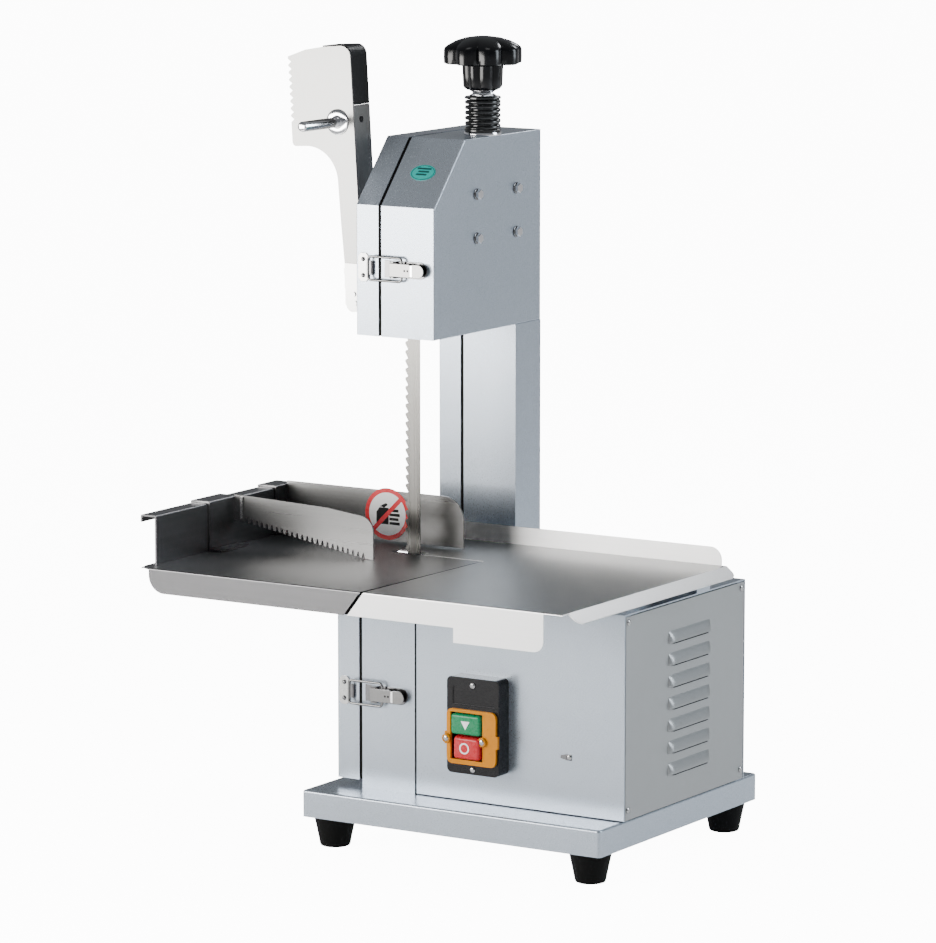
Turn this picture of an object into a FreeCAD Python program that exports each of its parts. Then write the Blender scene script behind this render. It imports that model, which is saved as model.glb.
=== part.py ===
import FreeCAD, Part
import math
import operator
import os

import Sketcher

# Countertop bone saw: a welded C-shaped frame with a hinged door, two band wheels, a toothed
# blade, a fixed table, a sliding table with two fences and a swing pusher.
#
# Lengths are millimetres. Machine axes: X to the right of the switch side, Y to the back, Z up,
# with the floor at zero. The sheet's frame_x and frame_y move the finished model so that its
# origin is the bottom centre of the whole object.

os.makedirs("parts", exist_ok=True)
doc = FreeCAD.newDocument("bone_saw")
sheet = doc.addObject("Spreadsheet::Sheet", "Sizes")

DRIVING_SIZES = {
    "frame_x": 62.65, "frame_y": 55,
    "sheet_steel": 1.5, "bend": 1.4, "frame_wall": 2.0, "air_gap": 0.3, "running": 0.05,
    # screws and bolts: radii of shanks, heads and the holes they pass through
    "screw": 1.9, "screw_head": 3.5, "screw_hole": 2.1, "bolt": 4, "bolt_head": 6.5,
    "bolt_hole": 4.3, "tight_hole": 4.1,
    # base
    "foot_height": 34, "foot_top_radius": 23.5, "foot_base_radius": 17, "foot_inset_x": 165,
    "foot_inset_y": 147, "base_half_x": 192, "base_half_y": 173, "base_top": 64, "base_lip": 40,
    # C-shaped frame and door, seen from the side
    "cabinet_front": -125, "machine_back": 140, "cabinet_top": 291, "door_bottom": 72,
    "column_front": 86, "head_bottom": 564, "head_front": -84, "chamfer_low": 709,
    "chamfer_back": -21, "head_top": 780, "top_miter": 0.449, "front_miter": 0.38,
    # the same, across the machine
    "door_face": -176, "door_edge": -147, "frame_edge": -143, "frame_back": -74,
    "cover_left": -72.4, "cover_right": 193.5, "gasket_width": 7,
    # wheels and blade
    "wheel_y": 45, "wheel_low": 178, "wheel_high": 672, "wheel_radius": 87.7,
    "wheel_left": -134, "wheel_right": -116, "band_inner": 88, "band_thickness": 0.6,
    "blade_left": -134.5, "blade_right": -118.5, "tooth_depth": 3.5, "tooth_pitch": 10,
    "tooth_rows": 48, "axle_radius": 8, "shaft_radius": 9, "hub_radius": 25,
    # tension gear
    "tension_x": -92, "rod_radius": 5, "spring_base": 784, "spring_pitch": 6.1, "spring_coils": 6,
    "spring_radius": 17.6, "spring_wire": 2.5, "knob_base": 820, "knob_bore_top": 876,
    "knob_height": 70,
    # tables
    "table_top": 318, "table_front": -283, "table_left": -343, "table_right": 211,
    "seam_front": -42, "seam_inner": -33, "seam_gap": 1.6, "apron_gap": 4.5, "carriage_back": -52,
    "carriage_notch": -151, "carriage_rear": 40, "table_back": 66, "apron_drop": 27,
    "seam_slant": 21, "tab_left": 76, "tab_right": 187, "tab_drop": 43, "splash_height": 20,
    "rod_z": 303, "rod_front_y": -95, "rod_rear_y": -5, "slide_radius": 6,
    # fences
    "rail_right": -326, "rail_height": 54, "rail_front": -258, "rail_back": 14,
    "rail_flange": 19, "slider_front": -159, "slider_back": -105, "fence_y": -110,
    "fence_tip": -138, "fence_height": 57, "gauge_y": -5, "gauge_tip": -86, "gauge_height": 59,
    # pusher
    "pusher_x": -196, "pusher_z": 625, "pusher_y": -60, "pusher_lean": 3.5,
    "pusher_fold": 13, "pusher_head_top": 256, "pusher_head_low": 146, "pusher_head_left": -70,
    # latches: heights, then places and depths measured from the machine and from the front face
    "latch_high": 640, "latch_low": 172, "latch_pivot": -124, "latch_hook": 11, "latch_depth": 5.5,
    "latch_end": -92, "latch_half": 9.5, "latch_sheet": 1.5, "latch_far": -157,
    # hinge line of the door
    "hinge_x": -145, "hinge_y": 146, "barrel_radius": 5, "hinge_pin": 2.5,
    # louvres of the side panel
    "louvre_low": 98, "louvre_pitch": 24.4, "louvre_height": 14, "louvre_bulge": 5,
    "louvre_front": -31, "louvre_back": 60, "louvre_count": 7,
    # motor
    "motor_radius": 62, "motor_end": 85,
    # switch
    "switch_left": -18.6, "switch_right": 47.8, "switch_low": 100, "switch_high": 207,
    "switch_depth": 21, "switch_screw": 14.6, "bezel_left": -17, "bezel_right": 46,
    "bezel_low": 111, "bezel_high": 172, "bezel_height": 3.5, "button_left": -10.5,
    "button_right": 27.5,
}


def fill_sheet():
    """Write every driving size as a row: its name, its number and its alias."""
    for row, (name, number) in enumerate(DRIVING_SIZES.items(), start=1):
        sheet.set("A%d" % row, name)
        sheet.set("B%d" % row, str(number))
        sheet.setAlias("B%d" % row, name)
    doc.recompute()


class Size:
    """A length that carries both its number and the sheet formula that gives it."""

    def __init__(self, number, formula):
        self.number = number
        self.formula = formula

    def __add__(self, other):
        return join(self, "+", other)

    def __radd__(self, other):
        return join(other, "+", self)

    def __sub__(self, other):
        return join(self, "-", other)

    def __rsub__(self, other):
        return join(other, "-", self)

    def __mul__(self, other):
        return join(self, "*", other)

    def __rmul__(self, other):
        return join(other, "*", self)

    def __truediv__(self, other):
        return join(self, "/", other)

    def __neg__(self):
        return join(0, "-", self)


OPERATORS = {"+": operator.add, "-": operator.sub, "*": operator.mul, "/": operator.truediv}


def as_size(value):
    if isinstance(value, Size):
        return value
    return Size(float(value), "(%.6f)" % value)


def join(left, sign, right):
    left, right = as_size(left), as_size(right)
    number = OPERATORS[sign](left.number, right.number)
    return Size(number, "(%s %s %s)" % (left.formula, sign, right.formula))


class Sheet:
    """Gives each driving size by name, as S.name."""

    def __getattr__(self, name):
        return Size(float(DRIVING_SIZES[name]), "Sizes." + name)


S = Sheet()
NODES = []
TURN = {
    "X": FreeCAD.Rotation(FreeCAD.Vector(0, 0, 1), FreeCAD.Vector(1, 0, 0)),
    "Y": FreeCAD.Rotation(FreeCAD.Vector(0, 0, 1), FreeCAD.Vector(0, 1, 0)),
    "Z": FreeCAD.Rotation(),
}


# ---------------------------------------------------------------- building helpers

def bind(thing, place, value):
    thing.setExpression(place, as_size(value).formula)


def put(thing, x, y, z):
    """Place a thing in machine axes, moved into the object's own frame."""
    bind(thing, "Placement.Base.x", x + S.frame_x)
    bind(thing, "Placement.Base.y", y + S.frame_y)
    bind(thing, "Placement.Base.z", z)


def node(thing, label):
    """Name a finished sub-part and list it for export."""
    thing.Label = label
    NODES.append(thing)
    return thing


def box(name, x, y, z):
    """A block between pairs of limits along X, Y and Z."""
    block = doc.addObject("Part::Box", name)
    for side, (low, high) in zip(("Length", "Width", "Height"), (x, y, z)):
        bind(block, side, as_size(high) - low)
    put(block, as_size(x[0]), as_size(y[0]), as_size(z[0]))
    return block


def rod(name, axis, start, length, radius):
    """A cylinder from its start point along an axis."""
    bar = doc.addObject("Part::Cylinder", name)
    bar.Placement = FreeCAD.Placement(FreeCAD.Vector(), TURN[axis])
    bind(bar, "Radius", radius)
    bind(bar, "Height", length)
    put(bar, *[as_size(value) for value in start])
    return bar


def cone(name, start, height, low_radius, high_radius):
    piece = doc.addObject("Part::Cone", name)
    bind(piece, "Radius1", low_radius)
    bind(piece, "Radius2", high_radius)
    bind(piece, "Height", height)
    put(piece, *[as_size(value) for value in start])
    return piece


def ring(name, centre, radius, wire):
    """A torus about a vertical axis."""
    coil = doc.addObject("Part::Torus", name)
    bind(coil, "Radius1", radius)
    bind(coil, "Radius2", wire)
    put(coil, *[as_size(value) for value in centre])
    return coil


def fuse(name, *pieces):
    whole = doc.addObject("Part::MultiFuse", name)
    whole.Shapes = list(pieces)
    return whole


def cut(name, base, *tools):
    result = doc.addObject("Part::Cut", name)
    result.Base = base
    result.Tool = tools[0] if len(tools) == 1 else fuse(name + "_tools", *tools)
    return result


def group(name, *pieces):
    """Separate solids kept in one sub-part."""
    whole = doc.addObject("Part::Compound", name)
    whole.Links = list(pieces)
    return whole


def loose_body(label, x=0, y=0, z=0):
    """A PartDesign body whose own origin is at a point of the machine."""
    piece = doc.addObject("PartDesign::Body", label)
    piece.Label = label
    put(piece, as_size(x), as_size(y), as_size(z))
    return piece


def body(label, x=0, y=0, z=0):
    """A PartDesign body that is a sub-part by itself."""
    return node(loose_body(label, x, y, z), label)


def origin_feature(piece, role):
    return [feature for feature in piece.Origin.OriginFeatures if feature.Role == role][0]


def new_sketch(piece, plane, offset):
    sketch = piece.newObject("Sketcher::SketchObject", piece.Name + "_sketch")
    sketch.AttachmentSupport = (origin_feature(piece, plane + "_Plane"), [""])
    sketch.MapMode = "FlatFace"
    bind(sketch, "AttachmentOffset.Base.z", offset)
    return sketch


def pin_point(sketch, geometry, position, x, y):
    """Dimension a point of the sketch from the sketch's origin."""
    for kind, value in (("DistanceX", as_size(x)), ("DistanceY", as_size(y))):
        dimension = Sketcher.Constraint(kind, -1, 1, geometry, position, value.number)
        index = sketch.addConstraint(dimension)
        sketch.setExpression("Constraints[%d]" % index, value.formula)


def draw_outline(sketch, points):
    """A closed outline of straight lines, each corner dimensioned."""
    first = sketch.GeometryCount
    corners = [(as_size(x), as_size(y)) for x, y in points]
    for index, (x, y) in enumerate(corners):
        next_x, next_y = corners[(index + 1) % len(corners)]
        start = FreeCAD.Vector(x.number, y.number, 0)
        end = FreeCAD.Vector(next_x.number, next_y.number, 0)
        sketch.addGeometry(Part.LineSegment(start, end), False)
    for index in range(len(corners)):
        following = first + (index + 1) % len(corners)
        sketch.addConstraint(Sketcher.Constraint("Coincident", first + index, 2, following, 1))
    for index, (x, y) in enumerate(corners):
        pin_point(sketch, first + index, 1, x, y)


def draw_circle(sketch, x, y, radius):
    x, y, radius = as_size(x), as_size(y), as_size(radius)
    centre = FreeCAD.Vector(x.number, y.number, 0)
    circle = Part.Circle(centre, FreeCAD.Vector(0, 0, 1), radius.number)
    geometry = sketch.addGeometry(circle, False)
    pin_point(sketch, geometry, 3, x, y)
    index = sketch.addConstraint(Sketcher.Constraint("Radius", geometry, radius.number))
    sketch.setExpression("Constraints[%d]" % index, radius.formula)


def draw(sketch, outlines):
    for outline in outlines:
        if outline[0] == "circle":
            draw_circle(sketch, *outline[1:])
        elif outline[0] == "loop":
            draw_loop(sketch, outline[1])
        else:
            draw_outline(sketch, outline)


def feature(piece, kind, sketch, length):
    result = piece.newObject("PartDesign::" + kind, piece.Name + "_" + kind.lower())
    result.Profile = sketch
    bind(result, "Length", length)
    doc.recompute()
    return result


def pad(piece, plane, low, high, *outlines):
    """Add material between two levels of a plane's axis."""
    low, high = as_size(low), as_size(high)
    offset = -high if plane == "XZ" else low
    sketch = new_sketch(piece, plane, offset)
    draw(sketch, outlines)
    return feature(piece, "Pad", sketch, high - low)


def pocket(piece, plane, low, high, *outlines):
    """Remove material between two levels of a plane's axis."""
    low, high = as_size(low), as_size(high)
    before = piece.Shape.Volume
    offset = -low if plane == "XZ" else high
    sketch = new_sketch(piece, plane, offset)
    draw(sketch, outlines)
    result = feature(piece, "Pocket", sketch, high - low)
    if piece.Shape.Volume >= before:
        raise RuntimeError("a pocket in %s removes nothing" % piece.Label)
    return result


def turned(piece, plane, axis, *outlines):
    """A solid of revolution about one of the body's own axes."""
    sketch = new_sketch(piece, plane, 0)
    draw(sketch, outlines)
    result = piece.newObject("PartDesign::Revolution", piece.Name + "_turned")
    result.Profile = sketch
    result.ReferenceAxis = (origin_feature(piece, axis + "_Axis"), [""])
    result.Angle = 360
    doc.recompute()
    return result


def row_of(piece, features, axis, length, count):
    """Repeat features in a straight row along one of the body's axes."""
    pattern = piece.newObject("PartDesign::LinearPattern", piece.Name + "_row")
    pattern.Originals = features
    pattern.Direction = (origin_feature(piece, axis + "_Axis"), [""])
    bind(pattern, "Length", length)
    bind(pattern, "Occurrences", count)
    piece.Tip = pattern
    doc.recompute()
    return pattern


def ring_of(piece, features, axis, count):
    """Repeat features around one of the body's axes."""
    pattern = piece.newObject("PartDesign::PolarPattern", piece.Name + "_ring")
    pattern.Originals = features
    pattern.Axis = (origin_feature(piece, axis + "_Axis"), [""])
    pattern.Angle = 360
    pattern.Occurrences = count
    piece.Tip = pattern
    doc.recompute()
    return pattern


def round_edges(piece, radius, chosen):
    """Fillet the straight edges that a test picks from the body's shape."""
    doc.recompute()
    tip = piece.Tip
    names = []
    for index, edge in enumerate(tip.Shape.Edges, start=1):
        if len(edge.Vertexes) == 2 and chosen(edge.Vertexes[0].Point, edge.Vertexes[1].Point):
            names.append("Edge%d" % index)
    if not names:
        raise RuntimeError("no edge to round in " + piece.Label)
    fillet = piece.newObject("PartDesign::Fillet", piece.Name + "_fillet")
    fillet.Base = (tip, names)
    bind(fillet, "Radius", radius)
    doc.recompute()
    return fillet


def along(axis, *corners):
    """A test for edges parallel to an axis that stand on given corners of the plane across."""
    keep = [index for index in range(3) if index != "XYZ".index(axis)]
    wanted = [(as_size(a).number, as_size(b).number) for a, b in corners]

    def matches(start, end):
        for a, b in wanted:
            ends = [abs(point[keep[0]] - a) + abs(point[keep[1]] - b) for point in (start, end)]
            if max(ends) < 0.01:
                return True
        return False

    return matches


def level(axis, value):
    """A test for edges that lie at one height along an axis."""
    index, wanted = "XYZ".index(axis), as_size(value).number

    def matches(start, end):
        return max(abs(start[index] - wanted), abs(end[index] - wanted)) < 0.01

    return matches


def rectangle(low_a, high_a, low_b, high_b):
    return [(low_a, low_b), (high_a, low_b), (high_a, high_b), (low_a, high_b)]


# ---------------------------------------------------------------- base and feet

def foot_spots():
    return [(side_x * S.foot_inset_x, side_y * S.foot_inset_y)
            for side_x in (-1, 1) for side_y in (-1, 1)]


def make_feet():
    """Rubber feet with a stepped bore, each held by a bolt and a nut inside the tray."""
    feet, screws = [], []
    head_top, head_height, well_radius, rim = 12, 5, 8, 3
    nut_gap, nut_height, nut_radius, shank_length = 2.4, 6, 7, 38
    for number, (x, y) in enumerate(foot_spots()):
        shoe = cone("foot_rim_%d" % number, (x, y, 0), rim, S.foot_base_radius - 2, S.foot_base_radius)
        leg = cone("foot_leg_%d" % number, (x, y, rim), S.foot_height - rim,
                   S.foot_base_radius, S.foot_top_radius)
        solid = fuse("foot_%d" % number, shoe, leg)
        well = rod("foot_well_%d" % number, "Z", (x, y, -1), head_top + 1, well_radius)
        bore = rod("foot_bore_%d" % number, "Z", (x, y, 0), S.foot_height + 1, S.tight_hole)
        feet.append(cut("foot_cut_%d" % number, solid, well, bore))
        head = rod("foot_bolt_head_%d" % number, "Z", (x, y, head_top - head_height), head_height,
                   S.bolt_head)
        shank = rod("foot_bolt_%d" % number, "Z", (x, y, head_top), shank_length, S.bolt)
        nut = rod("foot_nut_%d" % number, "Z", (x, y, S.foot_height + nut_gap), nut_height, nut_radius)
        screws.append(fuse("foot_screw_%d" % number, head, shank, nut))
    node(group("rubber_feet_group", *feet), "rubber_feet")
    node(group("foot_screws_group", *screws), "foot_screws")


def make_base_tray():
    """A folded tray turned over, with a lip all round its open bottom."""
    tray = body("base_tray")
    corner, top_bend, inner_corner = 4, 2.5, 12
    outer = rectangle(-S.base_half_x, S.base_half_x, -S.base_half_y, S.base_half_y)
    pad(tray, "XY", S.foot_height, S.base_top, outer)
    corners = [(a * S.base_half_x, b * S.base_half_y) for a in (-1, 1) for b in (-1, 1)]
    round_edges(tray, corner, along("Z", *corners))
    round_edges(tray, top_bend, level("Z", S.base_top))
    wall = S.frame_wall
    inside_x, inside_y = S.base_half_x - wall, S.base_half_y - wall
    pocket(tray, "XY", S.foot_height + wall, S.base_top - wall,
           rectangle(-inside_x, inside_x, -inside_y, inside_y))
    open_x = S.base_half_x - S.base_lip - inner_corner
    open_y = S.base_half_y - S.base_lip - inner_corner
    pocket(tray, "XY", S.foot_height, S.foot_height + wall,
           rectangle(-open_x, open_x, -open_y, open_y))
    for x, y in foot_spots():
        pocket(tray, "XY", S.foot_height, S.foot_height + wall, ("circle", x, y, S.bolt_hole))


# ---------------------------------------------------------------- frame

def head_outline(inset):
    """The upper housing from the side, with every edge moved inwards."""
    return [
        (S.head_front + inset, S.head_bottom + inset),
        (S.machine_back - inset, S.head_bottom + inset),
        (S.machine_back - inset, S.head_top - inset),
        (S.chamfer_back + inset * S.top_miter, S.head_top - inset),
        (S.head_front + inset, S.chamfer_low - inset * S.front_miter),
    ]


def c_outline(inset, bottom):
    """The whole C of frame or door from the side, with every edge moved inwards."""
    return [
        (S.cabinet_front + inset, bottom + inset),
        (S.machine_back - inset, bottom + inset),
        (S.machine_back - inset, S.head_top - inset),
        (S.chamfer_back + inset * S.top_miter, S.head_top - inset),
        (S.head_front + inset, S.chamfer_low - inset * S.front_miter),
        (S.head_front + inset, S.head_bottom + inset),
        (S.column_front + inset, S.head_bottom + inset),
        (S.column_front + inset, S.cabinet_top - inset),
        (S.cabinet_front + inset, S.cabinet_top - inset),
    ]


def column_gap(inset=2):
    return S.column_front + inset, S.machine_back - inset


def blade_gap():
    """The room for the blade's front run in a wall that it passes through."""
    front_run = S.wheel_y - S.band_inner
    return front_run - 7, front_run + 7


def make_lower_housing():
    housing = body("lower_housing")
    wall = S.frame_wall
    pad(housing, "YZ", S.frame_edge, S.frame_back,
        rectangle(S.cabinet_front, S.machine_back, S.base_top, S.cabinet_top))
    round_edges(housing, S.bend, along("X", (S.cabinet_front, S.cabinet_top)))
    pocket(housing, "YZ", S.frame_edge, S.frame_back - wall,
           rectangle(S.cabinet_front + wall, S.machine_back - wall,
                     S.base_top + wall, S.cabinet_top - wall))
    gap_low, gap_high = column_gap()
    slot_low, slot_high = blade_gap()
    pocket(housing, "XY", S.cabinet_top - wall, S.cabinet_top,
           rectangle(S.frame_edge, S.frame_back - wall, gap_low, gap_high),
           rectangle(S.frame_edge, S.wheel_right + 3, slot_low, slot_high))
    bolts = [("circle", y, z, S.bolt_hole) for y, z in motor_bolt_spots()]
    shaft_opening = 14
    pocket(housing, "YZ", S.frame_back - wall, S.frame_back,
           ("circle", S.wheel_y, S.wheel_low, shaft_opening), *bolts)


def make_column():
    column = body("column")
    wall = S.frame_wall
    pad(column, "YZ", S.frame_edge, S.frame_back,
        rectangle(S.column_front, S.machine_back, S.cabinet_top, S.head_bottom))
    gap_low, gap_high = column_gap()
    pocket(column, "YZ", S.frame_edge, S.frame_back - wall,
           rectangle(gap_low, gap_high, S.cabinet_top, S.head_bottom))


def make_upper_housing():
    housing = body("upper_housing")
    wall = S.frame_wall
    pad(housing, "YZ", S.frame_edge, S.frame_back, head_outline(as_size(0)))
    round_edges(housing, S.bend, level("X", S.frame_back))
    pocket(housing, "YZ", S.frame_edge, S.frame_back - wall, head_outline(wall))
    gap_low, gap_high = column_gap()
    slot_low, slot_high = blade_gap()
    pocket(housing, "XY", S.head_bottom, S.head_bottom + wall,
           rectangle(S.frame_edge, S.frame_back - wall, gap_low, gap_high),
           rectangle(S.frame_edge, S.wheel_right + 3, slot_low, slot_high))
    pocket(housing, "XY", S.head_top - wall, S.head_top,
           ("circle", S.tension_x, S.wheel_y, S.rod_radius + 1))
    bolts = [("circle", y, z, S.bolt_hole) for y, z in head_bolt_spots()]
    pocket(housing, "YZ", S.frame_back - wall, S.frame_back, *bolts)


def make_gasket():
    """A rubber strip between the door's edge and the frame's edge."""
    gasket = body("door_gasket")
    inner = c_outline(1 + S.gasket_width, S.door_bottom)
    pad(gasket, "YZ", S.door_edge + S.air_gap, S.frame_edge, c_outline(as_size(1), S.door_bottom), inner)


# ---------------------------------------------------------------- motor side

def make_motor_cover():
    """Sheets over the motor: a top, and a front and a back with flanges at their right ends."""
    wall, top, flange, shadow_gap = S.sheet_steel, S.cabinet_top, 16, 1.2
    front, back = S.cabinet_front, S.machine_back
    roof = loose_body("cover_top")
    pad(roof, "YZ", S.cover_left, S.cover_right, rectangle(front, back, top - wall, top))
    round_edges(roof, S.bend, along("X", (front, top), (back, top)))
    front_sheet = loose_body("cover_front")
    pad(front_sheet, "YZ", S.cover_left, S.cover_right,
        rectangle(front, front + wall, S.base_top + shadow_gap, top - wall))
    pad(front_sheet, "YZ", S.cover_right - 2 * wall, S.cover_right - wall,
        rectangle(front + wall, front + flange, S.base_top + shadow_gap, top - wall))
    inset = 5
    pocket(front_sheet, "XZ", front, front + wall,
           rectangle(S.switch_left + inset, S.switch_right - inset,
                     S.switch_low + inset, S.switch_high - inset))
    earth_x, earth_z = earth_spot()
    pocket(front_sheet, "XZ", front, front + wall, ("circle", earth_x, earth_z, S.screw_hole))
    back_sheet = loose_body("cover_back")
    pad(back_sheet, "YZ", S.cover_left, S.cover_right,
        rectangle(back - wall, back, S.base_top, top - wall))
    pad(back_sheet, "YZ", S.cover_right - 2 * wall, S.cover_right - wall,
        rectangle(back - flange, back - wall, S.base_top, top - wall))
    gland_x, gland_z = gland_spot()
    gland_hole = 8.2
    pocket(back_sheet, "XZ", back - wall, back, ("circle", gland_x, gland_z, gland_hole))
    flange_span = (S.cover_right - 2 * wall, S.cover_right - wall)
    for sheet_body, y in zip((front_sheet, back_sheet), side_screw_rows()):
        holes = [("circle", y, z, S.screw_hole) for z in side_screw_levels()]
        pocket(sheet_body, "YZ", *flange_span, *holes)
    node(group("motor_cover_group", roof, front_sheet, back_sheet), "motor_cover")


def make_side_panel():
    """The right-hand cover with a row of pressed louvres, let in flush between the folded sheets."""
    panel = body("side_panel")
    wall, face = S.sheet_steel, S.cover_right
    groove, end = wall + 1.3, 2
    pad(panel, "YZ", face - wall, face,
        rectangle(S.cabinet_front + groove, S.machine_back - groove, S.base_top + 1,
                  S.cabinet_top - groove))
    low, top, outer = S.louvre_low, S.louvre_low + S.louvre_height, face + S.louvre_bulge
    slot = pocket(panel, "YZ", face - wall, face,
                  rectangle(S.louvre_front + end, S.louvre_back - end, low, top - 4))
    hood = pad(panel, "XZ", S.louvre_front, S.louvre_back, [
        (face - wall, top), (face, top), (outer, low + 3), (outer, low),
        (outer - wall, low), (outer - wall, low + 2), (face - wall, top - 3),
    ])
    row_of(panel, [slot, hood], "Z", S.louvre_pitch * (S.louvre_count - 1), S.louvre_count)
    holes = [("circle", y, z, S.screw_hole) for y in side_screw_rows() for z in side_screw_levels()]
    pocket(panel, "YZ", face - wall, face, *holes)


def side_screw_rows():
    return S.cabinet_front + 8, S.machine_back - 9


def side_screw_levels():
    return as_size(76), as_size(282)


def earth_spot():
    return as_size(125), as_size(128)


def make_cover_screws():
    """Identical pan-head screws: four hold the side panel, one the earth tag, two the switch."""
    side, head_height, length = S.cover_right, 2, 8
    screws = []
    for y in side_screw_rows():
        for z in side_screw_levels():
            number = len(screws)
            head = rod("side_screw_head_%d" % number, "X", (side, y, z), head_height, S.screw_head)
            shank = rod("side_screw_%d" % number, "X", (side - length, y, z), length, S.screw)
            screws.append(fuse("side_screw_whole_%d" % number, head, shank))
    earth_x, earth_z = earth_spot()
    fronts = [(earth_x, S.cabinet_front, earth_z)]
    fronts += [(S.switch_screw, S.cabinet_front - S.switch_depth, z) for z in switch_screw_levels()]
    for x, y, z in fronts:
        number = len(screws)
        head = rod("front_screw_head_%d" % number, "Y", (x, y - head_height, z), head_height,
                   S.screw_head)
        shank = rod("front_screw_%d" % number, "Y", (x, y, z), length, S.screw)
        screws.append(fuse("front_screw_whole_%d" % number, head, shank))
    node(group("cover_screws_group", *screws), "cover_screws")


def switch_screw_levels():
    return S.switch_high - 8, S.switch_low + 5.2


def gland_spot():
    return as_size(120), as_size(110)


def make_cable_gland():
    """A gland through the back sheet: outer flange, neck and locknut, bored for a cord."""
    x, z = gland_spot()
    back, nut_radius, neck_radius, bore_radius = S.machine_back, 11, 8, 4
    nut = rod("gland_flange", "Y", (x, back, z), 5, nut_radius)
    neck = rod("gland_neck", "Y", (x, back - 10, z), 21, neck_radius)
    inner = rod("gland_locknut", "Y", (x, back - 7, z), 5.4, nut_radius)
    bore = rod("gland_bore", "Y", (x, back - 11, z), 24, bore_radius)
    node(cut("gland_cut", fuse("gland_whole", nut, neck, inner), bore), "cable_gland")


# ---------------------------------------------------------------- motor and drive

MOTOR_BOLT_REACH = 34


def motor_bolt_spots():
    return [(S.wheel_y + a * MOTOR_BOLT_REACH, S.wheel_low + b * MOTOR_BOLT_REACH)
            for a in (-1, 1) for b in (-1, 1)]


def make_motor():
    """A ribless motor can with a mounting spigot, and a slotted cowl over the fan."""
    motor = body("motor_body", S.frame_back, S.wheel_y, S.wheel_low)
    end, radius = S.motor_end - S.frame_back, S.motor_radius
    bore, spigot, hollow = S.shaft_radius + S.running, 54, 21
    flange, shoulder, inside = 8, 16, 14
    turned(motor, "XY", "X", [
        (0, bore), (0, spigot), (flange, spigot), (flange, radius - 6), (shoulder, radius),
        (end - shoulder, radius), (end, radius - 8), (end, bore), (end - 12, bore),
        (end - 12, hollow), (inside, hollow), (inside, bore),
    ])
    for a in (-1, 1):
        for b in (-1, 1):
            pocket(motor, "YZ", 0, inside,
                   ("circle", a * MOTOR_BOLT_REACH, b * MOTOR_BOLT_REACH, S.tight_hole))
    cowl = body("fan_cover", S.motor_end, S.wheel_y, S.wheel_low)
    length, outer, mouth, wall = 30, 55, 12, 1.5
    turned(cowl, "XY", "X", [
        (S.air_gap, mouth), (S.air_gap, outer), (length - 6, outer), (length, 48), (length, 0),
        (length - wall, 0), (length - wall, 47.2), (23.3, outer - wall), (1.8, outer - wall), (1.8, mouth),
    ])
    slit = pocket(cowl, "YZ", length - 2, length + 1, rectangle(-2.5, 2.5, 15, 42))
    ring_of(cowl, [slit], "X", 10)


def make_shaft_and_fan():
    """The motor's shaft carries the lower band wheel at one end and the fan at the other."""
    shaft = body("motor_shaft", 0, S.wheel_y, S.wheel_low)
    radius, rotor = S.shaft_radius, 18
    start, wheel_end, fan_end = S.wheel_left - 12, S.frame_back - 4, S.motor_end + 22
    rotor_start, rotor_end = S.frame_back + 17, S.motor_end - 16
    turned(shaft, "XY", "X", [
        (start, 0), (start, radius - 1), (wheel_end, radius - 1), (wheel_end, radius),
        (rotor_start, radius), (rotor_start, rotor), (rotor_end, rotor), (rotor_end, radius),
        (fan_end, radius), (fan_end, 0),
    ])
    fan = body("motor_fan", S.motor_end + 6, S.wheel_y, S.wheel_low)
    bore, hub, disc, length = S.shaft_radius + 0.02, 20, 30, 15
    turned(fan, "XY", "X", [
        (0, bore), (0, hub), (2, hub), (2, disc), (4, disc), (4, hub), (length, hub), (length, bore),
    ])
    blade = pad(fan, "XY", -1, 1, rectangle(2, length - 1, hub - 1, 48))
    ring_of(fan, [blade], "X", 6)


def make_motor_bolts():
    """Bolts from the frame's inner face into the motor's flange."""
    bolts = []
    inner, head_height, length = S.frame_back - S.frame_wall, 5, 14
    for number, (y, z) in enumerate(motor_bolt_spots()):
        head = rod("motor_bolt_head_%d" % number, "X", (inner - head_height, y, z), head_height,
                   S.bolt_head)
        shank = rod("motor_bolt_shank_%d" % number, "X", (inner - 1, y, z), length, S.bolt)
        bolts.append(fuse("motor_bolt_%d" % number, head, shank))
    node(group("motor_bolts_group", *bolts), "motor_bolts")


def make_capacitor():
    """The motor's run capacitor: a can lying on a clip on the tray."""
    centre_y, rise, length, radius, clip_half = -78, 20, 80, 18, 14
    can = rod("capacitor_can", "X", (-length / 2, centre_y, S.base_top + rise), length, radius)
    foot = box("capacitor_foot", (-20, 20), (centre_y - clip_half, centre_y + clip_half),
               (S.base_top, S.base_top + 6))
    node(fuse("capacitor_whole", can, foot), "capacitor")


def wheel_profile(hub_bore, rim):
    """Half section of a band wheel: flange at the right, open web, hub."""
    left, right = as_size(0), S.wheel_right - S.wheel_left
    flange, flange_height, rim_wall, hub_reach = 2.2, 3, 8, 8
    web_right, web_left, inner = right - 5, right - 10, rim - rim_wall
    return [
        (left, rim), (right - flange, rim), (right - flange, rim + flange_height),
        (right, rim + flange_height), (right, inner), (web_right, inner),
        (web_right, S.hub_radius), (right + hub_reach, S.hub_radius), (right + hub_reach, hub_bore),
        (left, hub_bore), (left, S.hub_radius), (web_left, S.hub_radius), (web_left, inner),
        (left, inner),
    ]


def make_wheel(label, z, hub_bore):
    wheel = body(label, S.wheel_left, S.wheel_y, z)
    turned(wheel, "XY", "X", wheel_profile(as_size(hub_bore), S.wheel_radius))
    hole_ring, hole_radius, holes = 52, 16, 6
    hole = pocket(wheel, "YZ", 6, 15, ("circle", 0, hole_ring, hole_radius))
    ring_of(wheel, [hole], "X", holes)


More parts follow.
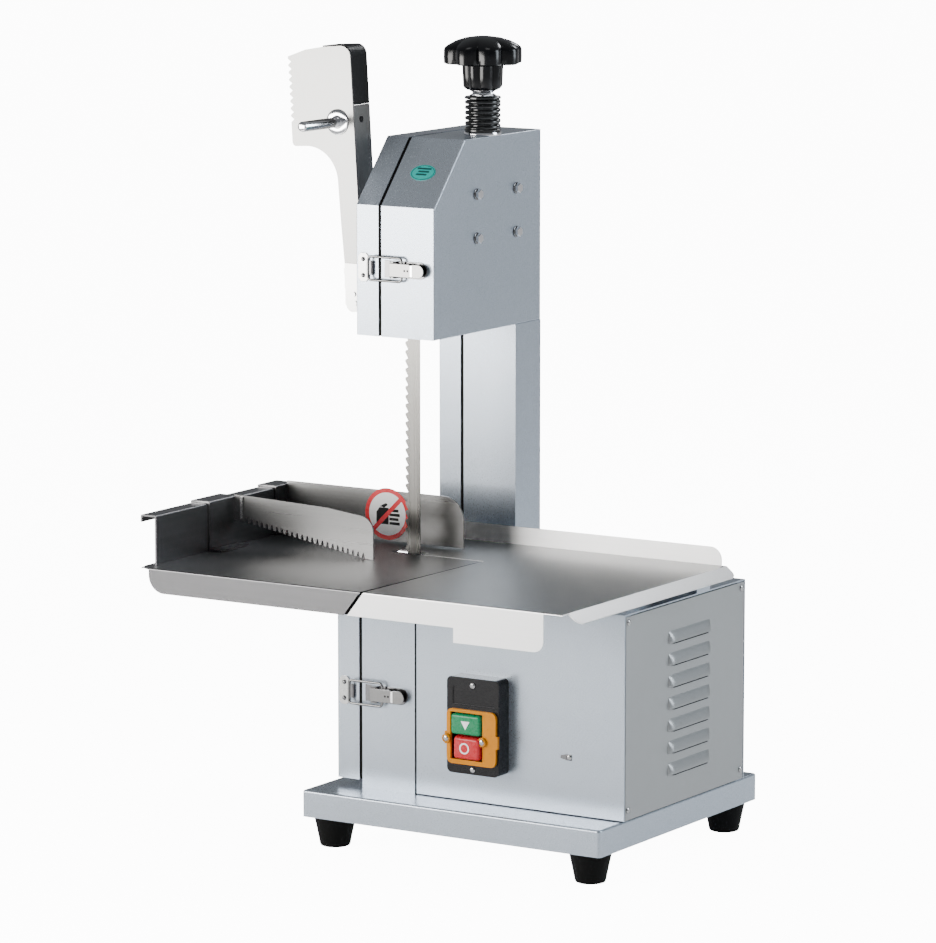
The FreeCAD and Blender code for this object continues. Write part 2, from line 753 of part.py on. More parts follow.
def make_drive_nut():
    """The nut that holds the driving wheel on the shaft's thinner end."""
    left, height, radius = S.wheel_left, 8, 12
    nut = rod("wheel_nut_body", "X", (left - height, S.wheel_y, S.wheel_low), height, radius)
    bore = rod("wheel_nut_bore", "X", (left - height - 1, S.wheel_y, S.wheel_low), height + 2,
               S.shaft_radius - 0.98)
    node(cut("wheel_nut_cut", nut, bore), "wheel_nut")


def make_wheel_bearings():
    """Two ball bearings in the upper wheel's hub, running on the fixed axle."""
    left = S.wheel_left
    bearings, width, radius = [], 9, 17.4
    for number, start in enumerate((1, 16)):
        at = (left + start, S.wheel_y, S.wheel_high)
        race = rod("bearing_%d" % number, "X", at, width, radius)
        before = (left + start - 1, S.wheel_y, S.wheel_high)
        bore = rod("bearing_bore_%d" % number, "X", before, width + 2, S.axle_radius + S.running)
        bearings.append(cut("bearing_cut_%d" % number, race, bore))
    node(group("wheel_bearings_group", *bearings), "wheel_bearings")


# ---------------------------------------------------------------- tension gear

def head_bolt_spots():
    reach, levels = 41.5, (669, 718)
    return [(S.wheel_y + side * reach, z) for side in (-1, 1) for z in levels]


def make_tension_block():
    """The block that carries the upper axle and slides between the guides."""
    right = S.frame_back - S.frame_wall
    left, half, low, high, fit = -104, 30, 640, 704, 0.03
    block = box("tension_block_body", (left, right - 0.5), (S.wheel_y - half, S.wheel_y + half), (low, high))
    axle_bore = rod("tension_axle_bore", "X", (left - 1, S.wheel_y, S.wheel_high), 40,
                    S.axle_radius + fit)
    node(cut("tension_block_cut", block, axle_bore), "tension_block")
    start, washer_radius, axle_length, rod_length = S.wheel_left - 1.5, 12, 50, 170
    axle = rod("axle_bar", "X", (start, S.wheel_y, S.wheel_high), axle_length, S.axle_radius)
    washer = rod("axle_washer", "X", (start - 3, S.wheel_y, S.wheel_high), 3, washer_radius)
    screw = rod("axle_screw", "X", (start - 7.5, S.wheel_y, S.wheel_high), 5, S.bolt_head)
    node(fuse("upper_axle_whole", axle, washer, screw), "upper_axle")
    node(rod("tension_rod_bar", "Z", (S.tension_x, S.wheel_y, high), rod_length, S.rod_radius),
         "tension_rod")


def make_tension_guides():
    """Two channels bolted inside the head, with lips that keep the block from tipping."""
    right = S.frame_back - S.frame_wall
    block_left, height, lip = -104, (600, 750), (-107.5, -104.3)
    guides = []
    for number, side in enumerate((-1, 1)):
        near, far = S.wheel_y + side * (30 + S.air_gap), S.wheel_y + side * 52
        lip_near = S.wheel_y + side * 24
        span = (near, far) if side > 0 else (far, near)
        lip_span = (lip_near, far) if side > 0 else (far, lip_near)
        bar = box("guide_bar_%d" % number, (block_left, right), span, height)
        ledge = box("guide_lip_%d" % number, lip, lip_span, height)
        bridge = box("guide_bridge_%d" % number, (lip[1], block_left), span, height)
        solid = fuse("guide_%d" % number, bar, ledge, bridge)
        holes = [rod("guide_hole_%d_%d" % (number, index), "X", (-90, y, z), 20, S.bolt + S.running)
                 for index, (y, z) in enumerate(head_bolt_spots())]
        guides.append(cut("guide_cut_%d" % number, solid, *holes))
    node(group("tension_guides_group", *guides), "tension_guides")


def make_head_bolts():
    """The four bolts of the guides, with their washers on the head's outer face."""
    washer_height, washer_radius, head_height, head_radius, length = 1.5, 8, 5, 6.2, 14
    bolts = []
    for number, (y, z) in enumerate(head_bolt_spots()):
        washer = rod("head_washer_%d" % number, "X", (S.frame_back, y, z), washer_height, washer_radius)
        head = rod("head_bolt_head_%d" % number, "X", (S.frame_back + washer_height, y, z),
                   head_height, head_radius)
        shank = rod("head_bolt_shank_%d" % number, "X", (S.frame_back - length, y, z), length + 1,
                    S.bolt)
        bolts.append(fuse("head_bolt_%d" % number, washer, head, shank))
    node(group("head_bolts_group", *bolts), "head_bolts")


def make_spring():
    """The seat on the head's top, and the spring's turns round their sleeve."""
    centre_x, centre_y = S.tension_x, S.wheel_y
    seat_height, seat_radius, sleeve_radius, sleeve_bore = 4, 21, 16.2, 14
    seat = rod("seat_disc", "Z", (centre_x, centre_y, S.head_top), seat_height, seat_radius)
    seat_bore = rod("seat_bore", "Z", (centre_x, centre_y, S.head_top - 1), seat_height + 2,
                    S.rod_radius + 0.5)
    node(cut("spring_seat_cut", seat, seat_bore), "spring_seat")
    coils = []
    for number in range(int(S.spring_coils.number)):
        z = S.spring_base + S.spring_wire + S.spring_pitch * number
        coils.append(ring("spring_coil_%d" % number, (centre_x, centre_y, z),
                          S.spring_radius, S.spring_wire))
    tall = S.spring_pitch * (S.spring_coils - 1) + S.spring_wire * 2
    sleeve = rod("spring_sleeve", "Z", (centre_x, centre_y, S.spring_base), tall, sleeve_radius)
    whole = fuse("spring_whole", sleeve, *coils)
    bore = rod("spring_bore", "Z", (centre_x, centre_y, S.spring_base - 1), tall + 2, sleeve_bore)
    node(cut("spring_cut", whole, bore), "tension_spring")


def make_knob():
    """The star knob: neck, hub and eight-lobed rim with a domed top."""
    knob = body("tension_knob", S.tension_x, S.wheel_y, S.knob_base)
    bore, top = S.rod_radius + S.running, S.knob_height
    depth = S.knob_bore_top - S.knob_base
    washer, neck, hub, rim, rim_low, lobe_radius = 20, 11, 22, 34, 39, 9.5
    turned(knob, "XZ", "Z", [
        (bore, 0), (washer, 0), (washer, 3), (neck, 4), (neck, 9), (hub - 3, 11), (hub - 1, 13),
        (hub, rim_low), (rim, rim_low), (rim + 1, 57), (rim - 3, top - 8), (14, top - 1.5),
        (0, top), (0, depth), (bore, depth),
    ])
    lobe = pad(knob, "XY", rim_low, 58, ("circle", rim, 0, lobe_radius))
    ring_of(knob, [lobe], "Z", 8)


# ---------------------------------------------------------------- blade

def make_blade():
    """An endless band on two wheels, with notches between the teeth of its straight runs."""
    blade = body("saw_blade", 0, S.wheel_y, 0)
    left = S.blade_left - S.tooth_depth
    pad(blade, "YZ", left, S.blade_right, ("loop", S.band_inner + S.band_thickness))
    pocket(blade, "YZ", left, S.blade_right, ("loop", S.band_inner))
    start = S.wheel_low + 6
    reach = S.band_inner + 2
    notch = pocket(blade, "XZ", -reach, reach, [
        (left - 0.5, start), (S.blade_left, start + 2), (left - 0.5, start + S.tooth_pitch - 1),
    ])
    row_of(blade, [notch], "Z", S.tooth_pitch * (S.tooth_rows - 1), S.tooth_rows)


def draw_loop(sketch, radius):
    """A slot-shaped closed line: two half circles joined by straight runs."""
    low, high, size = S.wheel_low, S.wheel_high, as_size(radius)
    r, z0, z1 = size.number, low.number, high.number
    up = FreeCAD.Vector(0, 0, 1)
    half = math.pi
    top = Part.ArcOfCircle(Part.Circle(FreeCAD.Vector(0, z1, 0), up, r), 0, half)
    bottom = Part.ArcOfCircle(Part.Circle(FreeCAD.Vector(0, z0, 0), up, r), half, 2 * half)
    left = Part.LineSegment(FreeCAD.Vector(-r, z1, 0), FreeCAD.Vector(-r, z0, 0))
    right = Part.LineSegment(FreeCAD.Vector(r, z0, 0), FreeCAD.Vector(r, z1, 0))
    first = sketch.GeometryCount
    for line in (top, left, bottom, right):
        sketch.addGeometry(line, False)
    top_id, left_id, bottom_id, right_id = range(first, first + 4)
    for one, one_end, other, other_end in ((top_id, 2, left_id, 1), (left_id, 2, bottom_id, 1),
                                           (bottom_id, 2, right_id, 1), (right_id, 2, top_id, 1)):
        sketch.addConstraint(Sketcher.Constraint("Coincident", one, one_end, other, other_end))
    pin_point(sketch, top_id, 3, 0, high)
    pin_point(sketch, bottom_id, 3, 0, low)
    pin_point(sketch, left_id, 1, -size, high)
    pin_point(sketch, right_id, 1, size, low)


def make_blade_guides():
    """A slotted guide block above and one below the table opening."""
    right = S.frame_back - S.frame_wall
    run = S.wheel_y - S.band_inner
    guides = []
    for number, low in enumerate((S.head_bottom + 8, S.cabinet_top - 30)):
        block = box("guide_block_%d" % number, (-131, right), (run - 12, run + 12), (low, low + 18))
        slot = box("guide_slot_%d" % number, (-132, S.blade_right + 1), (run - 1.1, run + 0.5),
                   (low - 1, low + 19))
        guides.append(cut("guide_slotted_%d" % number, block, slot))
    node(group("blade_guides_group", *guides), "blade_guides")


# ---------------------------------------------------------------- tables

def lip_ends(outer):
    """A test for the short edges at the two ends of a table's outer lip."""
    wanted = as_size(outer).number

    def matches(start, end):
        level_ends = abs(start[1] - end[1]) < 0.01
        return level_ends and abs(start[0] - wanted) < 1.2 and abs(end[0] - wanted) < 1.2

    return matches


def make_right_table():
    """The fixed table: plate, front apron with its tab, right lip and rear splash."""
    table = body("right_table")
    wall, top, gap = S.sheet_steel, S.table_top, S.seam_gap
    slot_back = S.wheel_y - S.band_inner + 5
    pad(table, "XY", top - wall, top, [
        (S.seam_front + S.apron_gap, S.table_front), (S.table_right, S.table_front),
        (S.table_right, S.table_back), (S.carriage_notch + 2, S.table_back),
        (S.carriage_notch + 2, slot_back), (S.blade_right + 8, slot_back),
        (S.blade_right + 8, S.carriage_back + gap), (S.seam_inner + gap, S.carriage_back + gap),
    ])
    pad(table, "XZ", S.table_front, S.table_front + wall, [
        (S.seam_front + S.apron_gap, top),
        (S.seam_front + S.apron_gap - S.seam_slant, top - S.apron_drop),
        (S.tab_left, top - S.apron_drop), (S.tab_left, top - S.tab_drop),
        (S.tab_right, top - S.tab_drop), (S.tab_right, top),
    ])
    round_edges(table, 12, along("Y", (S.tab_right, top - S.tab_drop)))
    round_edges(table, S.bend, along("X", (S.table_front, top)))
    lip_out, lip_down = 13, 10.5
    pad(table, "XZ", S.table_front + 12, S.table_back, [
        (S.table_right - 1, top), (S.table_right, top), (S.table_right + lip_out, top - lip_down),
        (S.table_right + lip_out - 1, top - lip_down - 1.2), (S.table_right - 1, top - wall),
    ])
    round_edges(table, 9, lip_ends(S.table_right + lip_out))
    pad(table, "XZ", S.table_back - wall, S.table_back,
        rectangle(S.carriage_notch + 13, S.table_right - 6, top - wall, top + S.splash_height))
    round_edges(table, 14, along("Y", (S.table_right - 6, top + S.splash_height)))


def make_table_supports():
    """Channels that hold the fixed table above the motor cover."""
    low, high = S.cabinet_top, S.table_top - S.sheet_steel
    front = box("support_front", (-20, 182), (-76, -60), (low, high))
    rear = box("support_rear", (-70, S.cover_right), (31, 60), (low, high))
    hollow_front = box("support_front_room", (-21, 183), (-74, -62), (low + 2, high - 2))
    hollow_rear = box("support_rear_room", (-71, S.cover_right - 2), (33, 58), (low + 2, high - 2))
    front_channel = cut("support_front_cut", front, hollow_front)
    rear_channel = cut("support_rear_cut", rear, hollow_rear)
    node(group("table_supports_group", front_channel, rear_channel), "table_supports")


def make_slide_blocks():
    """Bushed blocks on the cabinet's top in which the carriage's two rods slide."""
    low, high = S.cabinet_top, S.rod_z + 11
    blocks = []
    for y in (S.rod_front_y, S.rod_rear_y):
        for left in (-138, -66):
            number = len(blocks)
            block = box("slide_block_%d" % number, (left, left + 26), (y - 11, y + 11), (low, high))
            bore = rod("slide_bore_%d" % number, "X", (left - 1, y, S.rod_z), 28,
                       S.slide_radius + S.running)
            blocks.append(cut("slide_block_cut_%d" % number, block, bore))
    node(group("slide_blocks_group", *blocks), "slide_blocks")


def make_left_table():
    """The sliding table: an L-shaped plate that clears the blade, with a front apron."""
    table = body("left_table")
    wall, top = S.sheet_steel, S.table_top
    left, front, corner = S.table_left + 10, S.table_front, 14
    pad(table, "XY", top - wall, top, [
        (left, front + corner), (left + corner * 0.3, front + corner * 0.3), (left + corner, front),
        (S.seam_front, S.table_front),
        (S.seam_inner, S.carriage_back), (S.carriage_notch, S.carriage_back),
        (S.carriage_notch, S.carriage_rear), (left, S.carriage_rear),
    ])
    lip_out, lip_down = 10, 4
    pad(table, "XZ", S.table_front + 20, S.carriage_rear, [
        (left + 1, top), (left, top),
        (left - lip_out, top - lip_down), (left - lip_out, top - lip_down - wall),
        (left + 1, top - wall),
    ])
    apron_left = S.table_left + 24
    pad(table, "XZ", S.table_front, S.table_front + wall, [
        (apron_left, top), (apron_left, top - S.apron_drop),
        (S.seam_front - S.seam_slant, top - S.apron_drop),
        (S.seam_front, top),
    ])
    round_edges(table, 20, along("Y", (apron_left, top - S.apron_drop)))
    round_edges(table, S.bend, along("X", (S.table_front, top)))


def make_carriage_rods():
    """Two rods under the sliding table, with end brackets and stop collars."""
    low, high = S.rod_z - 8, S.table_top - S.sheet_steel
    pieces = []
    for number, y in enumerate((S.rod_front_y, S.rod_rear_y)):
        bar = rod("carriage_rod_%d" % number, "X", (S.table_left + 30, y, S.rod_z), 463, S.slide_radius)
        collar = rod("carriage_collar_%d" % number, "X", (136, y, S.rod_z), 10, 10)
        brackets = [box("carriage_bracket_%d_%d" % (number, index), (left, left + 8), (y - 12, y + 12),
                        (low, high)) for index, left in enumerate((-308, -194))]
        pieces.append(fuse("carriage_bar_%d" % number, bar, collar, *brackets))
    node(group("carriage_rods_group", *pieces), "carriage_rods")


# ---------------------------------------------------------------- fences

def make_rail():
    """The angle rail at the sliding table's left edge."""
    rail = body("gauge_rail")
    right, top = S.rail_right, S.table_top
    wall, high = 2, S.table_top + S.rail_height
    pad(rail, "XZ", S.rail_front, S.rail_back, [
        (right, top), (right, high), (right - S.rail_flange - wall, high),
        (right - S.rail_flange - wall, high - 8.5), (right - S.rail_flange, high - 8.5),
        (right - S.rail_flange, high - wall), (right - wall, high - wall), (right - wall, top),
    ])
    round_edges(rail, 1.8, along("Y", (right, high), (right - S.rail_flange - wall, high)))


def slider_outline():
    """A folded sheet that wraps the rail from its inner face over its top."""
    right, top = S.rail_right + S.air_gap, S.table_top + S.rail_height + S.air_gap
    wall = 2
    far = S.rail_right - S.rail_flange - wall - S.air_gap
    return [
        (right, S.table_top + 0.4), (right + 17, S.table_top + 0.4), (right + 17, S.table_top + 2.4),
        (right + wall, S.table_top + 2.4), (right + wall, top + wall), (far - wall, top + wall),
        (far - wall, top - 12), (far, top - 12), (far, top), (right, top),
    ]


def make_sliders():
    """Two folded sliders on the rail: the front one for the side fence, the rear one for the gauge."""
    folds = [slider_outline()[index] for index in (4, 5)]
    for label, front, back in (("side_slider", S.slider_front, S.slider_back),
                               ("gauge_slider", S.gauge_y - 22, S.gauge_y + 14)):
        slider = body(label)
        pad(slider, "XZ", front, back, slider_outline())
        round_edges(slider, 1.8, along("Y", *folds))


def make_toothed_plate():
    """The side fence: a plate whose sloping lower edge is toothed."""
    plate = body("toothed_plate")
    left, tip, foot = S.rail_right + S.air_gap + 2, S.fence_tip, S.table_top + 0.5
    teeth, first_x, toothed, rise, depth = 24, S.fence_tip - 8, 163, 27, 5.5
    high = foot + S.fence_height
    outline = [(left, foot + rise + 2), (left, high), (left + 17, high), (tip - 60, high - 4),
               (tip, high - 11), (tip, foot), (tip - 8, foot)]
    for number in range(teeth):
        for part, notch in ((0.4, 0), (0.6, depth), (0.85, depth), (1, 0)):
            share = (number + part) / teeth
            outline.append((first_x - toothed * share, foot + rise * share + notch))
    pad(plate, "XZ", S.fence_y, S.fence_y + 2, outline)
    round_edges(plate, 18, along("Y", (tip, high - 11)))
    pad(plate, "XZ", S.fence_y + 2, S.fence_y + 5, rectangle(left, left + 2, foot + rise + 2, high))
    pad(plate, "XZ", S.fence_y - 2, S.fence_y, rectangle(left + 9, left + 12, foot + rise + 3, high - 1))


def make_gauge_plate():
    plate = body("gauge_plate")
    left, foot = S.rail_right + S.air_gap + 2, S.table_top + 2.6
    pad(plate, "XZ", S.gauge_y, S.gauge_y + 2,
        rectangle(left, S.gauge_tip, foot, foot + S.gauge_height - 2))
    round_edges(plate, 26, along("Y", (S.gauge_tip, foot + S.gauge_height - 2)))
    disc = rod("sign_disc_body", "Y", (-187, S.gauge_y - 0.6, S.table_top + 33), 0.5, 29.5)
    node(disc, "sign_disc")


# ---------------------------------------------------------------- door

def make_door():
    """One C-shaped pan that closes the head, the column and the cabinet."""
    door = body("saw_door")
    wall = S.sheet_steel
    pad(door, "YZ", S.door_face, S.door_edge, c_outline(as_size(0), S.door_bottom))
    round_edges(door, S.bend, level("X", S.door_face))
    pocket(door, "YZ", S.door_face + wall, S.door_edge, c_outline(wall, S.door_bottom))


def hinge_levels():
    return (150, 430, 700)


def make_hinges():
    """Three butt hinges on the back: outer knuckles and pin on the frame, middle one on the door."""
    frame_side = [make_frame_hinge(number, z) for number, z in enumerate(hinge_levels())]
    door_side = [make_door_hinge(number, z) for number, z in enumerate(hinge_levels())]
    node(group("frame_hinges_group", *frame_side), "frame_hinges")
    node(group("door_hinges_group", *door_side), "door_hinges")


HINGE_HALF, KNUCKLE_HALF, LEAF_GAP, LEAF_WALL, KNUCKLE_GAP = 30, 10, 6, 2, 0.4


def strap_depth():
    """The strap joins a leaf to its knuckle and runs over the leaf's face."""
    return S.hinge_y - S.barrel_radius, S.machine_back + LEAF_WALL + 0.9


def make_frame_hinge(number, z):
    reach, back = 16, S.machine_back
    start = S.hinge_x + LEAF_GAP
    leaf = box("frame_leaf_%d" % number, (start, start + reach), (back, back + LEAF_WALL),
               (z - HINGE_HALF, z + HINGE_HALF))
    pin = rod("hinge_pin_%d" % number, "Z", (S.hinge_x, S.hinge_y, z - HINGE_HALF), 2 * HINGE_HALF,
              S.hinge_pin)
    pieces = [leaf, pin]
    near = KNUCKLE_HALF + KNUCKLE_GAP
    for low, high in ((z - HINGE_HALF, z - near), (z + near, z + HINGE_HALF)):
        tag = "%d_%d" % (number, low)
        pieces.append(rod("frame_knuckle_" + tag, "Z", (S.hinge_x, S.hinge_y, low), high - low,
                          S.barrel_radius))
        pieces.append(box("frame_strap_" + tag, (S.hinge_x, start + 1), strap_depth(), (low, high)))
    return fuse("frame_hinge_%d" % number, *pieces)


def make_door_hinge(number, z):
    reach, back = 22, S.machine_back
    end = S.hinge_x - LEAF_GAP
    leaf = box("door_leaf_%d" % number, (end - reach, end), (back, back + LEAF_WALL),
               (z - HINGE_HALF, z + HINGE_HALF))
    barrel = rod("door_knuckle_%d" % number, "Z", (S.hinge_x, S.hinge_y, z - KNUCKLE_HALF),
                 2 * KNUCKLE_HALF, S.barrel_radius)
    strap = box("door_strap_%d" % number, (end - 1, S.hinge_x), strap_depth(),
                (z - KNUCKLE_HALF, z + KNUCKLE_HALF))
    whole = fuse("door_hinge_%d" % number, leaf, barrel, strap)
    bore = rod("door_hinge_bore_%d" % number, "Z", (S.hinge_x, S.hinge_y, z - HINGE_HALF),
               2 * HINGE_HALF, S.hinge_pin + S.running)
    return cut("door_hinge_cut_%d" % number, whole, bore)


# ---------------------------------------------------------------- latches

def latches():
    """Name, front face and height of the two toggle latches."""
    return (("upper", S.head_front, S.latch_high), ("lower", S.cabinet_front, S.latch_low))


def make_latch_bases():
    """A plate with a round end and two ears that hold the lever's pin."""
    bases = []
    half, sheet, left = S.latch_half, S.latch_sheet, -138
    ear_span, ear_reach, ear_levels, pin_bore = (-129, -119), 8, (-9.5, 8), 1.6
    for name, face, z in latches():
        plate = box(name + "_latch_plate", (left, S.latch_end), (face - sheet, face), (z - half, z + half))
        end = rod(name + "_latch_end", "Y", (S.latch_end, face - sheet, z), sheet, half)
        ears = [box("%s_latch_ear_%d" % (name, side), ear_span, (face - ear_reach, face - sheet),
                    (z + low, z + low + sheet)) for side, low in enumerate(ear_levels)]
        whole = fuse(name + "_latch_whole", plate, end, *ears)
        bore = rod(name + "_latch_bore", "Z", (S.latch_pivot, face - S.latch_depth, z - 12), 24, pin_bore)
        bases.append(cut(name + "_latch_base_cut", whole, bore))
    node(group("latch_bases_group", *bases), "latch_bases")


def make_latch_levers():
    """A folded lever: a flat top with a round tip, two cheeks and the pin they turn on."""
    left, right, half, cheek_end, cheek_wall = -127, -90, 7.6, -106, 1.4
    outer, inner, pin_radius, hook_bore = 9.5, 8, 1.5, 1.3
    for name, face, z in latches():
        top = box(name + "_lever_top", (left, right), (face - outer, face - inner), (z - half, z + half))
        tip = rod(name + "_lever_tip", "Y", (right, face - outer, z), outer - inner, half)
        cheeks = [box("%s_lever_cheek_%d" % (name, side), (left, cheek_end), (face - inner, face - 3.5),
                      (z + low, z + low + cheek_wall))
                  for side, low in enumerate((-half, half - cheek_wall))]
        pin = rod(name + "_lever_pin", "Z", (S.latch_pivot, face - S.latch_depth, z - S.latch_half),
                  2 * S.latch_half, pin_radius)
        whole = fuse(name + "_lever_whole", top, tip, pin, *cheeks)
        bore = rod(name + "_lever_bore", "Z", (S.latch_pivot + S.latch_hook, face - S.latch_depth, z - 12),
                   24, hook_bore)
        node(cut(name + "_lever_cut", whole, bore), name + "_lever")


def make_latch_loops():
    """Wire bails: two long sides, a closing bar at the keeper and ends hooked into the lever."""
    wire, bar_wire, half, overhang, end_gap = 1.1, 1.25, 13, 1.6, 5
    reach = half + overhang
    for name, face, z in latches():
        y = face - S.latch_depth
        hook_x, far_x = S.latch_pivot + S.latch_hook, S.latch_far
        sides = [rod("%s_loop_side_%d" % (name, side), "X", (far_x, y, z + side * half),
                     hook_x - far_x, wire) for side in (-1, 1)]
        bar = rod(name + "_loop_bar", "Z", (far_x, y, z - reach), 2 * reach, bar_wire)
        ends = [rod("%s_loop_end_%d" % (name, index), "Z", (hook_x, y, z + low),
                    reach - end_gap, bar_wire) for index, low in enumerate((-reach, end_gap))]
        node(fuse(name + "_loop_whole", bar, *sides, *ends), name + "_loop")


def make_keepers():
    """Keeper plates riveted to the door, one under each wire bail."""
    keepers = []
    sheet, plate_span, tongue_span, lip_span = S.latch_sheet, (-173, -158), (-160, -151), (-155, -151)
    plate_half, tongue_half, rivet_x, rivet_step, rivet_radius = 16, 8, -166, 9, 3
    for name, face, z in latches():
        plate = box(name + "_keeper_plate", plate_span, (face - sheet, face),
                    (z - plate_half, z + plate_half))
        tongue_levels = (z - tongue_half, z + tongue_half)
        tongue = box(name + "_keeper_tongue", tongue_span, (face - sheet, face), tongue_levels)
        lip = box(name + "_keeper_lip", lip_span, (face - 3.6, face - sheet), tongue_levels)
        rivets = [rod("%s_keeper_rivet_%d" % (name, side), "Y",
                      (rivet_x, face - 2 * sheet, z + side * rivet_step), sheet, rivet_radius)
                  for side in (-1, 1)]
        keepers.append(fuse(name + "_keeper", plate, tongue, lip, *rivets))
    node(group("door_keepers_group", *keepers), "door_keepers")


# ---------------------------------------------------------------- pusher

def make_pusher_bracket():
    """The foot on the door's outer face: two ears with the pivot pin and a screwed tab."""
    face, front = S.door_face, S.pusher_y
    left = S.pusher_x - 9
    right = face - 1
    back = front + 31
    base_low, base_top, ear_top = 594, 642, 640
    shelf_low, shelf_top = 612, 616
    ahead = (front - 5.3, front - 2.3)
    base = box("bracket_base", (face - 2, face), (front - 5, back), (base_low, base_top))
    front_ear = box("bracket_ear_front", (left + 1, right), ahead, (shelf_low, ear_top))
    rear_ear = box("bracket_ear_rear", (left, right), (front + 3, front + 6), (shelf_top, ear_top - 6))
    corner = rod("bracket_ear_corner", "Y", (left + 9, ahead[0], ear_top - 9), 3, 9)
    shelf = box("bracket_shelf", (left, right), (front + 3, back), (shelf_low, shelf_top))
    tab = box("bracket_tab", (left + 2, right), ahead, (base_low, shelf_low + 1))
    foot = rod("bracket_tab_end", "Y", (left + 12, ahead[0], base_low + 1), 3, 9)
    pin = rod("bracket_pin", "Y", (S.pusher_x, front - 4, S.pusher_z), 34, 4)
    screws = [rod("bracket_screw_%d" % index, "Y", (x, front - 6.8, z), 2, 2.8)
              for index, (x, z) in enumerate(((left + 13, 606), (left + 15, 596)))]
    node(fuse("pusher_bracket_whole", base, front_ear, rear_ear, corner, shelf, tab, foot, pin,
              *screws), "pusher_bracket")


def pusher_body(label):
    """A body with its origin on the pusher's pivot, leaning outwards with the parked arm."""
    piece = body(label, S.pusher_x, S.pusher_y, S.pusher_z)
    piece.Placement = FreeCAD.Placement(FreeCAD.Vector(), FreeCAD.Rotation(FreeCAD.Vector(0, 1, 0), 0))
    bind(piece, "Placement.Rotation.Angle", -S.pusher_lean)
    piece.Placement.Rotation.Axis = FreeCAD.Vector(0, 1, 0)
    return piece


def make_pusher():
    """The swing arm: one folded plate with a toothed head, a grip peg and a black pad."""
    plate = pusher_body("pusher_plate")
    sheet, foot, neck, flange_reach, pad_low, top_corner = 2, 9, -13, 32, 190, 12
    fold, left = S.pusher_fold, S.pusher_head_left
    head_low, head_top = S.pusher_head_low, S.pusher_head_top
    pad(plate, "XZ", -sheet, 0, [
        (-foot, -8), (foot, -8), (fold, 20), (fold, head_top), (-24, head_top - 0.5), (-46, head_top - 3),
        (left, head_top - 10), (left, head_low), (neck, head_low), (neck + 2, 60), (-foot, foot),
    ])
    round_edges(plate, top_corner, along("Y", (fold, head_top)))
    round_edges(plate, 40, along("Y", (neck, head_low)))
    round_edges(plate, 5, along("Y", (left, head_low)))
    pad(plate, "YZ", fold - sheet, fold,
        [(-sheet, 30), (flange_reach, 95), (flange_reach, pad_low), (-sheet, pad_low)])
    pocket(plate, "YZ", fold - sheet, fold, ("circle", 14, 174, 4))
    pocket(plate, "XZ", -sheet, 0, ("circle", 0, 0, S.tight_hole))
    cut_pusher_teeth(plate)
    block = pusher_body("pusher_pad")
    pad(block, "XZ", 0.2, flange_reach, rectangle(-24, fold, pad_low + S.air_gap, head_top + 1))
    round_edges(block, top_corner, along("Y", (fold, head_top + 1)))
    make_grip()


def cut_pusher_teeth(plate):
    """Saw-tooth notches down the free edge of the pusher's head."""
    left, tooth, pitch, count = S.pusher_head_left, 4, 8, 9
    low = S.pusher_head_top - 12 - pitch * count
    notch = pocket(plate, "XZ", -3, 1, [(left - 1, low), (left + tooth, low + tooth),
                                       (left - 1, low + 2 * tooth)])
    row_of(plate, [notch], "Z", pitch * (count - 1), count)


def make_grip():
    """The round peg that the hand holds, with its washer against the plate."""
    grip = pusher_body("pusher_handle")
    x, z, sheet, washer = -8, 172, 2, 1.5
    pad(grip, "XZ", -74, -sheet - washer, ("circle", x, z, 5.8))
    pad(grip, "XZ", -sheet - washer, -sheet, ("circle", x, z, 14.5))


# ---------------------------------------------------------------- switch and trim

def make_switch():
    """The switch's box: a rounded shell with a window for the buttons and a sunk label field."""
    shell = body("switch_box")
    front, wall = S.cabinet_front - S.switch_depth, 2
    left, right, low, high = S.switch_left, S.switch_right, S.switch_low, S.switch_high
    pad(shell, "XZ", front, S.cabinet_front, rectangle(left, right, low, high))
    round_edges(shell, 6, along("Y", (left, low), (right, low), (left, high), (right, high)))
    pocket(shell, "XZ", front + wall, S.cabinet_front,
           rectangle(left + wall, right - wall, low + wall, high - wall))
    pocket(shell, "XZ", front, front + wall,
           rectangle(S.button_left - 2, S.button_right + 2, low + 15.5, high - 38))
    pocket(shell, "XZ", front, front + 0.8, rectangle(left + 7.5, right - 5, high - 30, high - 11))
    for z in switch_screw_levels():
        pocket(shell, "XZ", front, front + wall, ("circle", S.switch_screw, z, S.screw_hole))


def make_bezel():
    """The frame round the buttons, with a small ear on each side."""
    bezel = body("switch_bezel")
    front = S.cabinet_front - S.switch_depth
    back, front = front, front - S.bezel_height
    left, right, low, high = S.bezel_left, S.bezel_right, S.bezel_low, S.bezel_high
    ear, ear_levels, margin = 2.6, (132, 146), 1.5
    pad(bezel, "XZ", front, back, rectangle(left, right, low, high))
    round_edges(bezel, 7, along("Y", (left, low), (right, low), (left, high), (right, high)))
    pad(bezel, "XZ", front, back, rectangle(left - ear, left + 1, *ear_levels),
        rectangle(right - 1, right + ear, *ear_levels))
    pocket(bezel, "XZ", front, back,
           rectangle(S.button_left - margin, S.button_right + margin, low + 5, high - 3.5))


def make_buttons():
    """Two sprung buttons, the lower one standing out further."""
    front, depth, corner = S.cabinet_front - S.switch_depth, 12, 3
    left, right = S.button_left, S.button_right
    for label, low, high, stand in (("start_button", 144, 167, 6), ("stop_button", 117.5, 142, 8)):
        button = body(label)
        pad(button, "XZ", front - stand, front + depth, rectangle(left, right, low, high))
        round_edges(button, corner, along("Y", (left, low), (right, low), (left, high), (right, high)))


